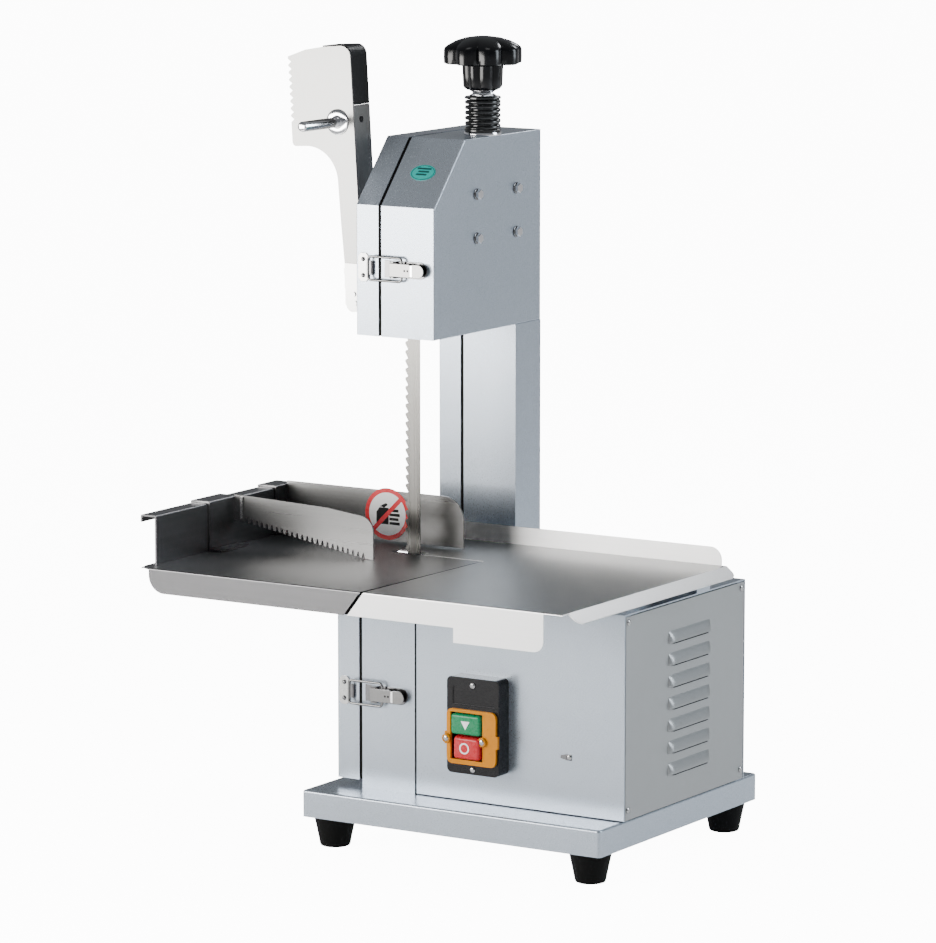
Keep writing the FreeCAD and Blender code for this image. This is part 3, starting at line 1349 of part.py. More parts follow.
def make_oval_label():
    """A small oval plate on the head's chamfer, in the chamfer's own plane."""
    label = body("oval_label", -108.5, -52.5, 744.5)
    label.Placement = FreeCAD.Placement(FreeCAD.Vector(), FreeCAD.Rotation(FreeCAD.Vector(1, 0, 0), 0))
    chamfer_slope, shift, radius, low, high = 48.4, 6, 10.5, 0.05, 0.55
    bind(label, "Placement.Rotation.Angle", chamfer_slope)
    label.Placement.Rotation.Axis = FreeCAD.Vector(1, 0, 0)
    pad(label, "XY", low, high, rectangle(-shift, shift, -radius, radius))
    for side in (-1, 1):
        pad(label, "XY", low, high, ("circle", side * shift, 0, radius))


# ---------------------------------------------------------------- run

def check_and_export():
    doc.recompute()
    for thing in doc.Objects:
        if "Invalid" in thing.State or "Error" in thing.State:
            raise RuntimeError("%s failed: %s" % (thing.Label, thing.State))
    for thing in NODES:
        if thing.Shape.isNull() or not thing.Shape.isValid():
            raise RuntimeError(thing.Label + " has no valid shape")
    whole = FreeCAD.BoundBox()
    for thing in NODES:
        thing.Shape.exportStep("parts/%s.step" % thing.Label)
        whole.add(thing.Shape.BoundBox)
    print("nodes:", len(NODES))
    print("box: X %.2f to %.2f, Y %.2f to %.2f, Z %.2f to %.2f" % (
        whole.XMin, whole.XMax, whole.YMin, whole.YMax, whole.ZMin, whole.ZMax))


def main():
    fill_sheet()
    make_feet()
    make_base_tray()
    make_lower_housing()
    make_column()
    make_upper_housing()
    make_gasket()
    make_motor_cover()
    make_side_panel()
    make_cover_screws()
    make_cable_gland()
    make_motor()
    make_shaft_and_fan()
    make_motor_bolts()
    make_capacitor()
    make_wheel("lower_wheel", S.wheel_low, 8.02)
    make_drive_nut()
    make_wheel("upper_wheel", S.wheel_high, 17.5)
    make_wheel_bearings()
    make_tension_block()
    make_tension_guides()
    make_head_bolts()
    make_spring()
    make_knob()
    make_blade()
    make_blade_guides()
    make_right_table()
    make_table_supports()
    make_slide_blocks()
    make_left_table()
    make_carriage_rods()
    make_rail()
    make_sliders()
    make_toothed_plate()
    make_gauge_plate()
    make_door()
    make_hinges()
    make_latch_bases()
    make_latch_levers()
    make_latch_loops()
    make_keepers()
    make_pusher_bracket()
    make_pusher()
    make_switch()
    make_bezel()
    make_buttons()
    make_oval_label()
    check_and_export()


main()
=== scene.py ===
import math

import bmesh
import bpy
from mathutils import Matrix, Vector


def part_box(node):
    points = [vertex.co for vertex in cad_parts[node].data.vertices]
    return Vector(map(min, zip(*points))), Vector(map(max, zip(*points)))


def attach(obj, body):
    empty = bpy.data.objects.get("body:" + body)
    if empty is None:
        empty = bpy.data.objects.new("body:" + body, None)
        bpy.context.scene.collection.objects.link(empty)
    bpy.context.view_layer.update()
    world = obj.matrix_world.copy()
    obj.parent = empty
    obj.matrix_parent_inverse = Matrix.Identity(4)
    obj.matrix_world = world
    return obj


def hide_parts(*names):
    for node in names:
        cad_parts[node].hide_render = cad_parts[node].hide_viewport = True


MM = 0.001


def mm(points):
    """Pairs of millimetres as pairs of metres."""
    return [(a * MM, b * MM) for a, b in points]


# ---------------------------------------- material nodes

GRAIN_X, GRAIN_Y, GRAIN_Z = (4.0, 420.0, 420.0), (420.0, 4.0, 420.0), (420.0, 420.0, 4.0)
EVEN_GRAIN = (1.0, 1.0, 1.0)
FINE_DETAIL, CLOUD_DETAIL, CLOUD_SCALE = 5.0, 3.0, 7.0
DARK_STOP, LIGHT_STOP = 0.3, 0.7
RELIEF_DISTANCE = 0.6 * MM
LEAST_ROUGH = 0.02
UPWARD = (0.80, 0.95)
# How far the tables' up-facing faces are darkened (painted shade), and how much rougher they get
TABLE_TOP_SHADE, LEFT_TABLE_TOP_SHADE, TOP_DULLNESS = 0.28, 0.85, 0.12


def noise(tree, place, scale, detail):
    texture = tree.nodes.new("ShaderNodeTexNoise")
    texture.inputs["Scale"].default_value = scale
    texture.inputs["Detail"].default_value = detail
    tree.links.new(place, texture.inputs["Vector"])
    return texture.outputs["Fac"]


def calculate(tree, operation, *terms):
    """A Math node whose terms are sockets or numbers."""
    node = tree.nodes.new("ShaderNodeMath")
    node.operation = operation
    for socket, term in zip(node.inputs, terms):
        if isinstance(term, float):
            socket.default_value = term
        else:
            tree.links.new(term, socket)
    return node.outputs["Value"]


def map_range(tree, value, start, end, low=0.0, high=1.0):
    """Turn the values from low to high into values from start to end."""
    node = tree.nodes.new("ShaderNodeMapRange")
    for name, number in (("From Min", low), ("From Max", high), ("To Min", start), ("To Max", end)):
        node.inputs[name].default_value = number
    tree.links.new(value, node.inputs["Value"])
    return node.outputs["Result"]


def colour_ramp(tree, share, stops):
    """A ramp through (position, colour) stops."""
    ramp = tree.nodes.new("ShaderNodeValToRGB")
    elements = ramp.color_ramp.elements
    for index, (position, colour) in enumerate(stops):
        stop = elements[index] if index < 2 else elements.new(position)
        stop.position = position
        stop.color = (*colour, 1.0)
    tree.links.new(share, ramp.inputs["Fac"])
    return ramp.outputs["Color"]


def height_of(tree, vector):
    """The Z part of a vector socket."""
    parts = tree.nodes.new("ShaderNodeSeparateXYZ")
    tree.links.new(vector, parts.inputs["Vector"])
    return parts.outputs["Z"]


def surface(name, colour, metallic=0.0, roughness=0.5, rough_spread=0.08, coat=0.0,
            coat_roughness=0.1, specular=0.5, clear=0.0, grain=EVEN_GRAIN, grain_scale=90.0,
            bump=0.02, uneven=0.06):
    """A procedural material: fine grain drives bump and gloss, and with broad clouds the colour."""
    material = bpy.data.materials.new(name)
    material.use_nodes = True
    tree = material.node_tree
    shader = tree.nodes["Principled BSDF"]
    for socket, value in (("Metallic", metallic), ("Coat Weight", coat), ("Coat Roughness", coat_roughness),
                          ("Specular IOR Level", specular), ("Transmission Weight", clear)):
        shader.inputs[socket].default_value = value
    place = tree.nodes.new("ShaderNodeTexCoord").outputs["Object"]
    stretch = tree.nodes.new("ShaderNodeMapping")
    stretch.inputs["Scale"].default_value = grain
    tree.links.new(place, stretch.inputs["Vector"])
    fine = noise(tree, stretch.outputs["Vector"], grain_scale, FINE_DETAIL)
    clouds = noise(tree, place, CLOUD_SCALE, CLOUD_DETAIL)
    blend = calculate(tree, "MULTIPLY_ADD", fine, 0.5, calculate(tree, "MULTIPLY", clouds, 0.5))
    dark, light = [c * (1 - uneven) for c in colour], [min(1.0, c * (1 + uneven)) for c in colour]
    tint = colour_ramp(tree, blend, ((DARK_STOP, dark), (LIGHT_STOP, light)))
    tree.links.new(tint, shader.inputs["Base Color"])
    gloss = map_range(tree, fine, max(LEAST_ROUGH, roughness - rough_spread),
                      min(1.0, roughness + rough_spread))
    tree.links.new(gloss, shader.inputs["Roughness"])
    relief = tree.nodes.new("ShaderNodeBump")
    relief.inputs["Strength"].default_value = bump
    relief.inputs["Distance"].default_value = RELIEF_DISTANCE
    tree.links.new(fine, relief.inputs["Height"])
    tree.links.new(relief.outputs["Normal"], shader.inputs["Normal"])
    return material


def paint_top_shade(material, worn):
    """Darken and dull the faces that point up. The darkening is painted shade, standing for the dark
    surroundings that the tops reflect.
    """
    tree = material.node_tree
    shader = tree.nodes["Principled BSDF"]
    unshaded_colour = shader.inputs["Base Color"].links[0].from_socket
    gloss = shader.inputs["Roughness"].links[0].from_socket
    up = height_of(tree, tree.nodes.new("ShaderNodeNewGeometry").outputs["Normal"])
    darkened = tree.nodes.new("ShaderNodeVectorMath")
    darkened.operation = "SCALE"
    tree.links.new(unshaded_colour, darkened.inputs[0])
    tree.links.new(map_range(tree, up, 1.0, worn, *UPWARD), darkened.inputs["Scale"])
    tree.links.new(darkened.outputs["Vector"], shader.inputs["Base Color"])
    dullness = map_range(tree, up, 0.0, TOP_DULLNESS, *UPWARD)
    tree.links.new(calculate(tree, "ADD", gloss, dullness), shader.inputs["Roughness"])


# ---------------------------------------- finishes

def add_painted_and_steel(add):
    add("silver_paint", (0.41, 0.46, 0.525), metallic=0.74, roughness=0.29, coat=0.12,
        coat_roughness=0.25, grain_scale=900.0, bump=0.08, uneven=0.03)
    add("panel_paint", (0.31, 0.32, 0.325), metallic=0.72, roughness=0.36, coat=0.1,
        coat_roughness=0.25, grain_scale=900.0, bump=0.08, uneven=0.03)
    add("steel_along_x", (0.26, 0.26, 0.26), metallic=1.0, roughness=0.28, rough_spread=0.025,
        grain=GRAIN_X, grain_scale=1.0, bump=0.008, uneven=0.05)
    add("blade_steel", (0.20, 0.195, 0.185), metallic=1.0, roughness=0.28, grain=GRAIN_Z,
        grain_scale=1.0, bump=0.04, uneven=0.10)
    add("steel_along_z", (0.25, 0.25, 0.245), metallic=1.0, roughness=0.30, rough_spread=0.03,
        grain=GRAIN_Z, grain_scale=1.0, bump=0.012, uneven=0.05)
    add("table_steel", (0.92, 0.92, 0.92), metallic=1.0, roughness=0.35, rough_spread=0.03,
        grain=GRAIN_X, grain_scale=1.0, bump=0.012, uneven=0.03)
    add("worn_steel", (0.18, 0.18, 0.185), metallic=1.0, roughness=0.32, rough_spread=0.02,
        grain=GRAIN_X, grain_scale=1.0, bump=0.006, uneven=0.04)
    add("rail_steel", (0.19, 0.19, 0.195), metallic=1.0, roughness=0.30, rough_spread=0.03,
        grain=GRAIN_Y, grain_scale=1.0, bump=0.012, uneven=0.08)


def add_plated_and_cast(add):
    add("zinc", (0.42, 0.42, 0.42), metallic=1.0, roughness=0.15, rough_spread=0.05,
        grain_scale=500.0, bump=0.04, uneven=0.08)
    add("latch_steel", (0.20, 0.20, 0.20), metallic=1.0, roughness=0.17, rough_spread=0.05,
        grain_scale=500.0, bump=0.05, uneven=0.12)
    add("pale_zinc", (0.50, 0.50, 0.50), metallic=0.9, roughness=0.26, grain_scale=500.0, bump=0.05)
    # Dark zinc. On the latch bases and the keepers' hooks this darkness is painted shade.
    add("dark_zinc", (0.17, 0.17, 0.175), metallic=1.0, roughness=0.20, grain_scale=500.0,
        bump=0.05, uneven=0.15)
    add("chrome", (0.80, 0.80, 0.82), metallic=1.0, roughness=0.10, rough_spread=0.04,
        grain_scale=400.0, bump=0.01, uneven=0.03)
    # Used only as painted shade in the screws' cross recesses.
    add("dark_steel", (0.10, 0.10, 0.105), metallic=1.0, roughness=0.34, grain_scale=500.0,
        uneven=0.15)
    add("spring_black", (0.012, 0.013, 0.014), metallic=0.3, roughness=0.22, coat=0.4,
        grain_scale=400.0, bump=0.03)
    add("cast_alloy", (0.50, 0.51, 0.53), metallic=1.0, roughness=0.45, grain_scale=700.0, bump=0.3)
    add("cast_iron", (0.16, 0.16, 0.17), metallic=0.8, roughness=0.55, grain_scale=600.0, bump=0.4)
    add("motor_paint", (0.10, 0.14, 0.18), roughness=0.40, coat=0.3, grain_scale=900.0, bump=0.1)


def add_plastic_and_rubber(add):
    add("rubber", (0.003, 0.003, 0.003), roughness=0.60, specular=0.08, grain_scale=1200.0, bump=0.2)
    add("black_gloss", (0.002, 0.002, 0.003), roughness=0.20, rough_spread=0.04, specular=0.32,
        grain_scale=300.0, bump=0.01)
    add("black_satin", (0.004, 0.004, 0.005), roughness=0.42, specular=0.2, grain_scale=1400.0,
        bump=0.15)
    add("switch_black", (0.004, 0.004, 0.005), roughness=0.28, specular=0.25, grain_scale=1400.0,
        bump=0.08)
    add("grey_plastic", (0.55, 0.55, 0.55), roughness=0.45, grain_scale=900.0, bump=0.1)
    add("amber", (0.56, 0.20, 0.0), roughness=0.30, coat=0.08, specular=0.15, grain_scale=300.0)
    add("amber_clear", (0.72, 0.28, 0.0), roughness=0.18, coat=0.2, clear=0.3, grain_scale=300.0)
    add("green", (0.0, 0.20, 0.075), roughness=0.28, coat=0.15, specular=0.3, grain_scale=300.0)
    add("red", (0.50, 0.012, 0.02), roughness=0.28, coat=0.15, specular=0.3, grain_scale=300.0)
    add("white_mark", (0.90, 0.90, 0.90), roughness=0.35, grain_scale=300.0)
    add("sign_red", (0.70, 0.03, 0.04), roughness=0.30, coat=0.3, grain_scale=300.0)
    add("teal", (0.01, 0.40, 0.36), roughness=0.30, coat=0.5, grain_scale=300.0, uneven=0.12)
    add("dark_teal", (0.0, 0.05, 0.05), roughness=0.35, coat=0.3, grain_scale=300.0)


def make_materials():
    made = {}

    def add(name, colour, **more):
        made[name] = surface(name, colour, **more)

    add_painted_and_steel(add)
    add_plated_and_cast(add)
    add_plastic_and_rubber(add)
    # Painted shade: the up-facing faces of both tables are darkened.
    paint_top_shade(made["table_steel"], TABLE_TOP_SHADE)
    paint_top_shade(made["worn_steel"], LEFT_TABLE_TOP_SHADE)
    return made


CAD_FINISH = {
    "silver_paint": ("base_tray", "lower_housing", "column", "upper_housing", "motor_cover",
                     "side_panel", "saw_door", "table_supports"),
    "table_steel": ("right_table",),
    "worn_steel": ("left_table",),
    "steel_along_x": ("toothed_plate", "gauge_plate", "carriage_rods", "motor_shaft", "upper_axle"),
    "blade_steel": ("saw_blade",),
    "steel_along_z": ("pusher_plate", "door_hinges", "frame_hinges"),
    "rail_steel": ("gauge_rail", "side_slider", "gauge_slider"),
    "zinc": ("foot_screws", "cover_screws", "motor_bolts", "wheel_nut", "head_bolts", "tension_rod",
             "latch_bases", "upper_lever", "lower_lever", "upper_loop", "lower_loop",
             "door_keepers", "pusher_bracket"),
    "chrome": ("wheel_bearings", "spring_seat", "pusher_handle"),
    "spring_black": ("tension_spring",),
    "rubber": ("rubber_feet", "door_gasket"),
    "black_gloss": ("tension_knob",),
    "switch_black": ("switch_box",),
    "black_satin": ("motor_fan", "pusher_pad", "cable_gland"),
    "amber": ("switch_bezel",),
    "green": ("start_button",),
    "red": ("stop_button",),
    "cast_alloy": ("lower_wheel", "upper_wheel", "slide_blocks"),
    "cast_iron": ("tension_block", "tension_guides", "blade_guides"),
    "motor_paint": ("motor_body", "fan_cover"),
    "grey_plastic": ("capacitor",),
    "teal": ("oval_label",),
    "white_mark": ("sign_disc",),
}


def finish_cad_nodes(nodes, materials):
    for finish, names in CAD_FINISH.items():
        for name in names:
            slots = nodes[name].data.materials
            if len(slots) == 0:
                slots.append(materials[finish])
            for index in range(len(slots)):
                slots[index] = materials[finish]


# ---------------------------------------- mesh helpers

AXES = {
    "X": Matrix(((0, 0, 1), (1, 0, 0), (0, 1, 0))),
    "-Y": Matrix(((1, 0, 0), (0, 0, -1), (0, 1, 0))),
    "Z": Matrix.Identity(3),
}
BEVEL_ANGLE = math.radians(30)
MERGE_DISTANCE = 1e-6


def finished(name, mesh, material, body, smooth=30.0, bevel=0.0, replaces=()):
    """Turn mesh data into a piece that rides on a body."""
    thing = bpy.data.objects.new(name, mesh)
    bpy.context.scene.collection.objects.link(thing)
    mesh.materials.append(material)
    mesh.shade_smooth()
    mesh.set_sharp_from_angle(angle=math.radians(smooth))
    if bevel:
        rounding = thing.modifiers.new("rounding", "BEVEL")
        rounding.width = bevel
        rounding.segments = 3
        rounding.limit_method = "ANGLE"
        rounding.angle_limit = BEVEL_ANGLE
        rounding.harden_normals = True
    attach(thing, body)
    if replaces:
        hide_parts(*replaces)
    return thing


def mesh_from(name, vertices, faces):
    mesh = bpy.data.meshes.new(name)
    mesh.from_pydata([tuple(v) for v in vertices], [], faces)
    shell = bmesh.new()
    shell.from_mesh(mesh)
    bmesh.ops.remove_doubles(shell, verts=shell.verts, dist=MERGE_DISTANCE)
    bmesh.ops.recalc_face_normals(shell, faces=shell.faces)
    shell.to_mesh(mesh)
    shell.free()
    return mesh


def band(low, high, count):
    """Faces between two rings of corners, given by each ring's first index."""
    return [(low + i, low + (i + 1) % count, high + (i + 1) % count, high + i) for i in range(count)]


def around(radius, angle, height):
    return Vector((radius * math.cos(angle), radius * math.sin(angle), height))


def lathe(name, centre, axis, profile, steps=48, shape=None):
    """A closed solid of revolution from (radius, height) pairs. shape may scale the radius by the
    angle and the pair's index."""
    vertices, faces = [], []
    for index, (radius, height) in enumerate(profile):
        for step in range(steps):
            angle = 2 * math.pi * step / steps
            reach = radius * (shape(angle, index) if shape else 1.0)
            vertices.append(centre + AXES[axis] @ around(reach, angle, height))
    last = (len(profile) - 1) * steps
    for start in range(0, last, steps):
        faces += band(start, start + steps, steps)
    faces.append(tuple(range(steps))[::-1])
    faces.append(tuple(range(last, last + steps)))
    return mesh_from(name, vertices, faces)


def ring_lathe(name, centre, axis, profile, steps=64):
    """A ring: the closed profile of (radius, height) pairs goes all the way round the axis."""
    vertices, faces = [], []
    count = len(profile)
    for step in range(steps):
        angle = 2 * math.pi * step / steps
        vertices += [centre + AXES[axis] @ around(radius, angle, height) for radius, height in profile]
        faces += band(step * count, ((step + 1) % steps) * count, count)
    return mesh_from(name, vertices, faces)


def prism(name, outline, place, thickness):
    """An outline of (a, b) pairs, placed by a function and given a thickness."""
    count = len(outline)
    vertices = [place(a, b, 0.0) for a, b in outline]
    vertices += [place(a, b, thickness) for a, b in outline]
    faces = [tuple(range(count))[::-1], tuple(range(count, 2 * count))]
    return mesh_from(name, vertices, faces + band(0, count, count))


def upright(x, y, z):
    """A placing function for outlines of (across, up) that thicken towards the front."""
    return lambda a, b, t: Vector((x + a, y - t, z + b))


def level(x, y, z):
    """A placing function for outlines of (across, forward) that thicken upwards."""
    return lambda a, b, t: Vector((x + a, y - b, z + t))


def tube(name, points, radius):
    """A round bar along smooth points, with flat ends."""
    curve = bpy.data.curves.new(name, "CURVE")
    curve.dimensions = "3D"
    curve.bevel_depth = radius
    curve.bevel_resolution = 4
    curve.use_fill_caps = True
    line = curve.splines.new("POLY")
    line.points.add(len(points) - 1)
    for point, place in zip(line.points, points):
        point.co = (*place, 1.0)
    holder = bpy.data.objects.new(name + "_line", curve)
    bpy.context.scene.collection.objects.link(holder)
    view = bpy.context.evaluated_depsgraph_get()
    mesh = bpy.data.meshes.new_from_object(holder.evaluated_get(view))
    bpy.data.objects.remove(holder)
    return mesh


def middle(node):
    low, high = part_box(node)
    return (low + high) / 2


def foot_of(node):
    """The middle of a node's underside."""
    centre = middle(node)
    return Vector((centre.x, centre.y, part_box(node)[0].z))


def front_of(node):
    """The middle of a node's front."""
    centre = middle(node)
    return Vector((centre.x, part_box(node)[0].y, centre.z))


def back_of(node):
    """The middle of a node's back."""
    centre = middle(node)
    return Vector((centre.x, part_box(node)[1].y, centre.z))


def rectangle(left, right, bottom, top):
    return [(left, bottom), (right, bottom), (right, top), (left, top)]


def arc(centre, radius, start, end, steps=8):
    """Points (across, up) on an arc between two angles in degrees."""
    points = []
    for step in range(steps + 1):
        angle = math.radians(start + (end - start) * step / steps)
        points.append((centre[0] + radius * math.cos(angle), centre[1] + radius * math.sin(angle)))
    return points


def ellipse(half_wide, half_tall, steps=64):
    turns = [2 * math.pi * step / steps for step in range(steps)]
    return [(half_wide * math.cos(turn), half_tall * math.sin(turn)) for turn in turns]


# ---------------------------------------- knob

KNOB_LOBES, LOBE_FULLNESS, COLLAR_FLATS = 8, 0.45, 0.10
KNOB_PROFILE = [  # radius, height and depth of the valleys between the lobes
    (10.5, 9.2, 0.0), (17.5, 10.2, 0.08), (20.6, 12.0, 0.12), (22.2, 14.5, 0.13), (22.8, 26.0, 0.13),
    (23.3, 37.0, 0.14), (28.0, 38.8, 0.15), (41.2, 39.0, 0.16), (44.0, 40.4, 0.17),
    (44.3, 46.0, 0.17), (44.2, 55.0, 0.17), (43.2, 57.6, 0.16), (39.6, 60.4, 0.13),
    (31.4, 64.6, 0.07), (20.0, 68.0, 0.02), (9.0, 69.6, 0.0), (0.05, 69.9, 0.0),
]


def knob_shape(angle, index):
    """Full round lobes with narrow valleys between them."""
    wave = 0.5 + 0.5 * math.cos(KNOB_LOBES * angle)
    return 1.0 - KNOB_PROFILE[index][2] * (1.0 - wave ** LOBE_FULLNESS)


def collar_shape(angle, index):
    return 1.0 - COLLAR_FLATS * abs(math.sin(3 * angle))


def make_knob(materials):
    """The star knob, the bright collar under its neck and the washer that the spring pushes on."""
    base = foot_of("tension_knob")
    profile = mm((radius, height) for radius, height, valley in KNOB_PROFILE)
    mesh = lathe("knob_star", base, "Z", profile, steps=160, shape=knob_shape)
    finished("knob_star", mesh, materials["black_gloss"], "knob",
             smooth=50.0, replaces=("tension_knob",))
    collar = mm([(9.0, 3.2), (15.8, 3.2), (16.4, 4.0), (13.0, 6.0), (12.6, 7.4), (16.0, 9.6),
                 (14.0, 10.4), (9.0, 10.6)])
    mesh = lathe("knob_collar", base, "Z", collar, shape=collar_shape)
    finished("knob_collar", mesh, materials["chrome"], "knob", smooth=25.0)
    washer = mm([(8.0, 0.1), (19.4, 0.1), (20.4, 0.8), (20.4, 2.2), (19.4, 3.0), (8.0, 3.1)])
    mesh = lathe("knob_washer", base, "Z", washer, steps=64)
    finished("knob_washer", mesh, materials["spring_black"], "knob")


# ---------------------------------------- spring and seat

SPRING_WIRE, SPRING_TURNS, FLAT_TURNS, STEPS_PER_TURN = 2.45 * MM, 6.2, 0.5, 40


def spring_line():
    """The wire's middle line, which climbs between a flat half turn at each end."""
    low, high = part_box("tension_spring")
    start = foot_of("tension_spring") + Vector((0.0, 0.0, SPRING_WIRE))
    reach = (high.x - low.x) / 2 - SPRING_WIRE
    rise = high.z - low.z - 2 * SPRING_WIRE
    points = []
    for step in range(int(SPRING_TURNS * STEPS_PER_TURN) + 1):
        turns = step / STEPS_PER_TURN
        climb = min(1.0, max(0.0, (turns - FLAT_TURNS) / (SPRING_TURNS - 2 * FLAT_TURNS)))
        points.append(start + around(reach, 2 * math.pi * turns, rise * climb))
    return points


def make_spring(materials):
    """The spring, the tube inside it, the ring at its foot and the bright cup that it stands in."""
    black, base = materials["spring_black"], foot_of("tension_spring")
    mesh = tube("spring_helix", spring_line(), SPRING_WIRE)
    finished("spring_helix", mesh, black, "root", smooth=60.0,
             replaces=("tension_spring",))
    mesh = ring_lathe("spring_core", base, "Z", mm(rectangle(13.6, 16.1, 0.2, 34.5)))
    finished("spring_core", mesh, black, "root")
    foot = mm([(16.4, 0.15), (20.0, 0.15), (20.5, 0.7), (20.5, 2.3), (20.0, 2.9), (16.4, 2.9)])
    finished("spring_foot", ring_lathe("spring_foot", base, "Z", foot), black, "root")
    cup = mm([(6.0, 0.05), (20.8, 0.05), (21.0, 0.5), (20.8, 2.4), (20.4, 3.6), (19.6, 3.95),
              (6.0, 3.95)])
    mesh = lathe("spring_cup", foot_of("spring_seat"), "Z", cup, steps=64)
    finished("spring_cup", mesh, materials["chrome"], "root",
             replaces=("spring_seat",))


# ---------------------------------------- feet

FOOT_TOP_RADIUS = 23.5 * MM
FOOT_PROFILE = mm([
    (0.05, 12.0), (7.8, 12.0), (8.0, 0.6), (14.6, 0.05), (16.2, 0.7), (17.1, 2.6), (20.0, 17.0),
    (23.0, 31.0), (23.45, 33.0), (22.8, 33.9), (0.05, 33.95),
])


def make_feet(materials):
    """Tapered rubber feet with a recess for the screw in each sole."""
    low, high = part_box("rubber_feet")
    spots = [(x, y) for x in (low.x + FOOT_TOP_RADIUS, high.x - FOOT_TOP_RADIUS)
             for y in (low.y + FOOT_TOP_RADIUS, high.y - FOOT_TOP_RADIUS)]
    for number, (x, y) in enumerate(spots):
        mesh = lathe("foot", Vector((x, y, low.z)), "Z", FOOT_PROFILE, steps=64)
        foot = finished("rubber_foot_%d" % number, mesh, materials["rubber"], "root")
        if number == 0:
            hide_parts("rubber_feet")


# ---------------------------------------- bolts and screws

BOLT_WASHER_RADIUS, BOLT_HEIGHT = 8.0 * MM, 6.5 * MM
CROSS_LONG, CROSS_WIDE, CROSS_START, CROSS_DEPTH = 3.4, 0.7, 1.6 * MM, 0.36 * MM
PANEL_SCREW_FRONT, PANEL_SCREW_BACK = 5.2 * MM, 6.2 * MM
PANEL_SCREW_LOW, PANEL_SCREW_HIGH = 11 * MM, 6.2 * MM
SWITCH_SCREW_LOW, SWITCH_SCREW_HIGH = 5.2 * MM, 8 * MM
EARTH_SCREW_ACROSS, EARTH_SCREW_HEIGHT = 113.9 * MM, 128 * MM


def hexagon(angle, index):
    """Scale that turns a circle round a hexagon's corners into the hexagon."""
    local = (angle + math.pi / 6) % (math.pi / 3) - math.pi / 6
    return math.cos(math.pi / 6) / math.cos(local)


def make_head_bolts(materials):
    low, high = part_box("head_bolts")
    spots = [(y, z) for y in (low.y + BOLT_WASHER_RADIUS, high.y - BOLT_WASHER_RADIUS)
             for z in (low.z + BOLT_WASHER_RADIUS, high.z - BOLT_WASHER_RADIUS)]
    washer = mm([(0.05, 0.02), (6.4, 0.02), (6.5, 0.3), (6.4, 1.1), (6.0, 1.3), (0.05, 1.3)])
    head = mm([(0.05, 1.3), (5.5, 1.3), (5.6, 1.6), (5.6, 5.4), (5.1, 6.1), (0.05, 6.45)])
    for number, (y, z) in enumerate(spots):
        centre = Vector((high.x - BOLT_HEIGHT, y, z))
        finished("head_washer_%d" % number, lathe("washer", centre, "X", washer),
                 materials["dark_zinc"], "root")
        mesh = lathe("hex", centre, "X", head, steps=60, shape=hexagon)
        bolt = finished("head_hex_%d" % number, mesh, materials["chrome"], "root", smooth=20.0)
        if number == 0:
            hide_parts("head_bolts")


def pan_screw(name, centre, axis, materials):
    """A pan head with a dark cross set into its top: painted shade for the cross recess."""
    head = mm([(0.05, 0.0), (3.45, 0.0), (3.5, 0.3), (3.3, 1.0), (2.6, 1.6), (1.4, 1.95),
               (0.05, 1.99)])
    mesh = lathe(name, centre, axis, head, steps=32)
    screw = finished(name, mesh, materials["zinc"], "root")
    for index, (wide, tall) in enumerate(((CROSS_LONG, CROSS_WIDE), (CROSS_WIDE, CROSS_LONG))):
        mesh = prism("cross", mm(rectangle(-wide / 2, wide / 2, -tall / 2, tall / 2)),
                     lambda a, b, t: centre + AXES[axis] @ Vector((a, b, CROSS_START + t)), CROSS_DEPTH)
        finished("%s_cross_%d" % (name, index), mesh, materials["dark_steel"], "root")
    return screw


def earth_spot():
    return Vector((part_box("cover_screws")[0].x + EARTH_SCREW_ACROSS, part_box("motor_cover")[0].y,
                   EARTH_SCREW_HEIGHT))


def screw_spots():
    """Where the pan screws are and which way they face: on the panel, the switch and the earth tag."""
    low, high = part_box("side_panel")
    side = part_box("motor_cover")[1].x
    spots = [(Vector((side, y, z)), "X") for y in (low.y + PANEL_SCREW_FRONT, high.y - PANEL_SCREW_BACK)
             for z in (low.z + PANEL_SCREW_LOW, high.z - PANEL_SCREW_HIGH)]
    low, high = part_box("switch_box")
    spots += [(Vector(((low.x + high.x) / 2, low.y, z)), "-Y")
              for z in (high.z - SWITCH_SCREW_HIGH, low.z + SWITCH_SCREW_LOW)]
    return spots + [(earth_spot(), "-Y")]


def make_cover_screws(materials):
    earth = earth_spot()
    tag = mm([(-11, -1.6), (-3, -3.4), (3, -3.4), (3, 3.4), (-3, 3.4), (-11, 1.6)])
    mesh = prism("earth_tag", tag, upright(earth.x, earth.y - 0.02 * MM, earth.z), 0.5 * MM)
    finished("earth_tag", mesh, materials["dark_zinc"], "root")
    for number, (centre, axis) in enumerate(screw_spots()):
        screw = pan_screw("cover_screw_%d" % number, centre, axis, materials)
        if number == 0:
            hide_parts("cover_screws")


# ---------------------------------------- louvred panel

LOUVRE_COUNT, LOUVRE_PITCH, LOUVRE_HEIGHT, LOUVRE_BULGE = 7, 24.4 * MM, 14 * MM, 4.9 * MM
LOUVRE_LOW, LOUVRE_FRONT, LOUVRE_BACK, LOUVRE_END = 33 * MM, 91.2 * MM, 182.2 * MM, 9 * MM
LOUVRE_LIP, LOUVRE_SLOPE, LEVEL_SLACK = 0.12, 0.8, 1e-7
PANEL_WALL, PANEL_GUARD = 1.5 * MM, 0.4 * MM


def louvre_stand(along, up):
    """How far a louvre stands out of the panel, from places measured from its corner."""
    end = min(along, (LOUVRE_BACK - LOUVRE_FRONT) - along) / LOUVRE_END
    if end <= 0 or up <= 0 or up >= LOUVRE_HEIGHT:
        return 0.0
    round_end = math.sqrt(1 - (1 - min(1.0, end)) ** 2)
    share = up / LOUVRE_HEIGHT
    lip = math.sqrt(min(1.0, share / LOUVRE_LIP))
    return LOUVRE_BULGE * round_end * lip * math.cos(math.pi / 2 * share) ** LOUVRE_SLOPE


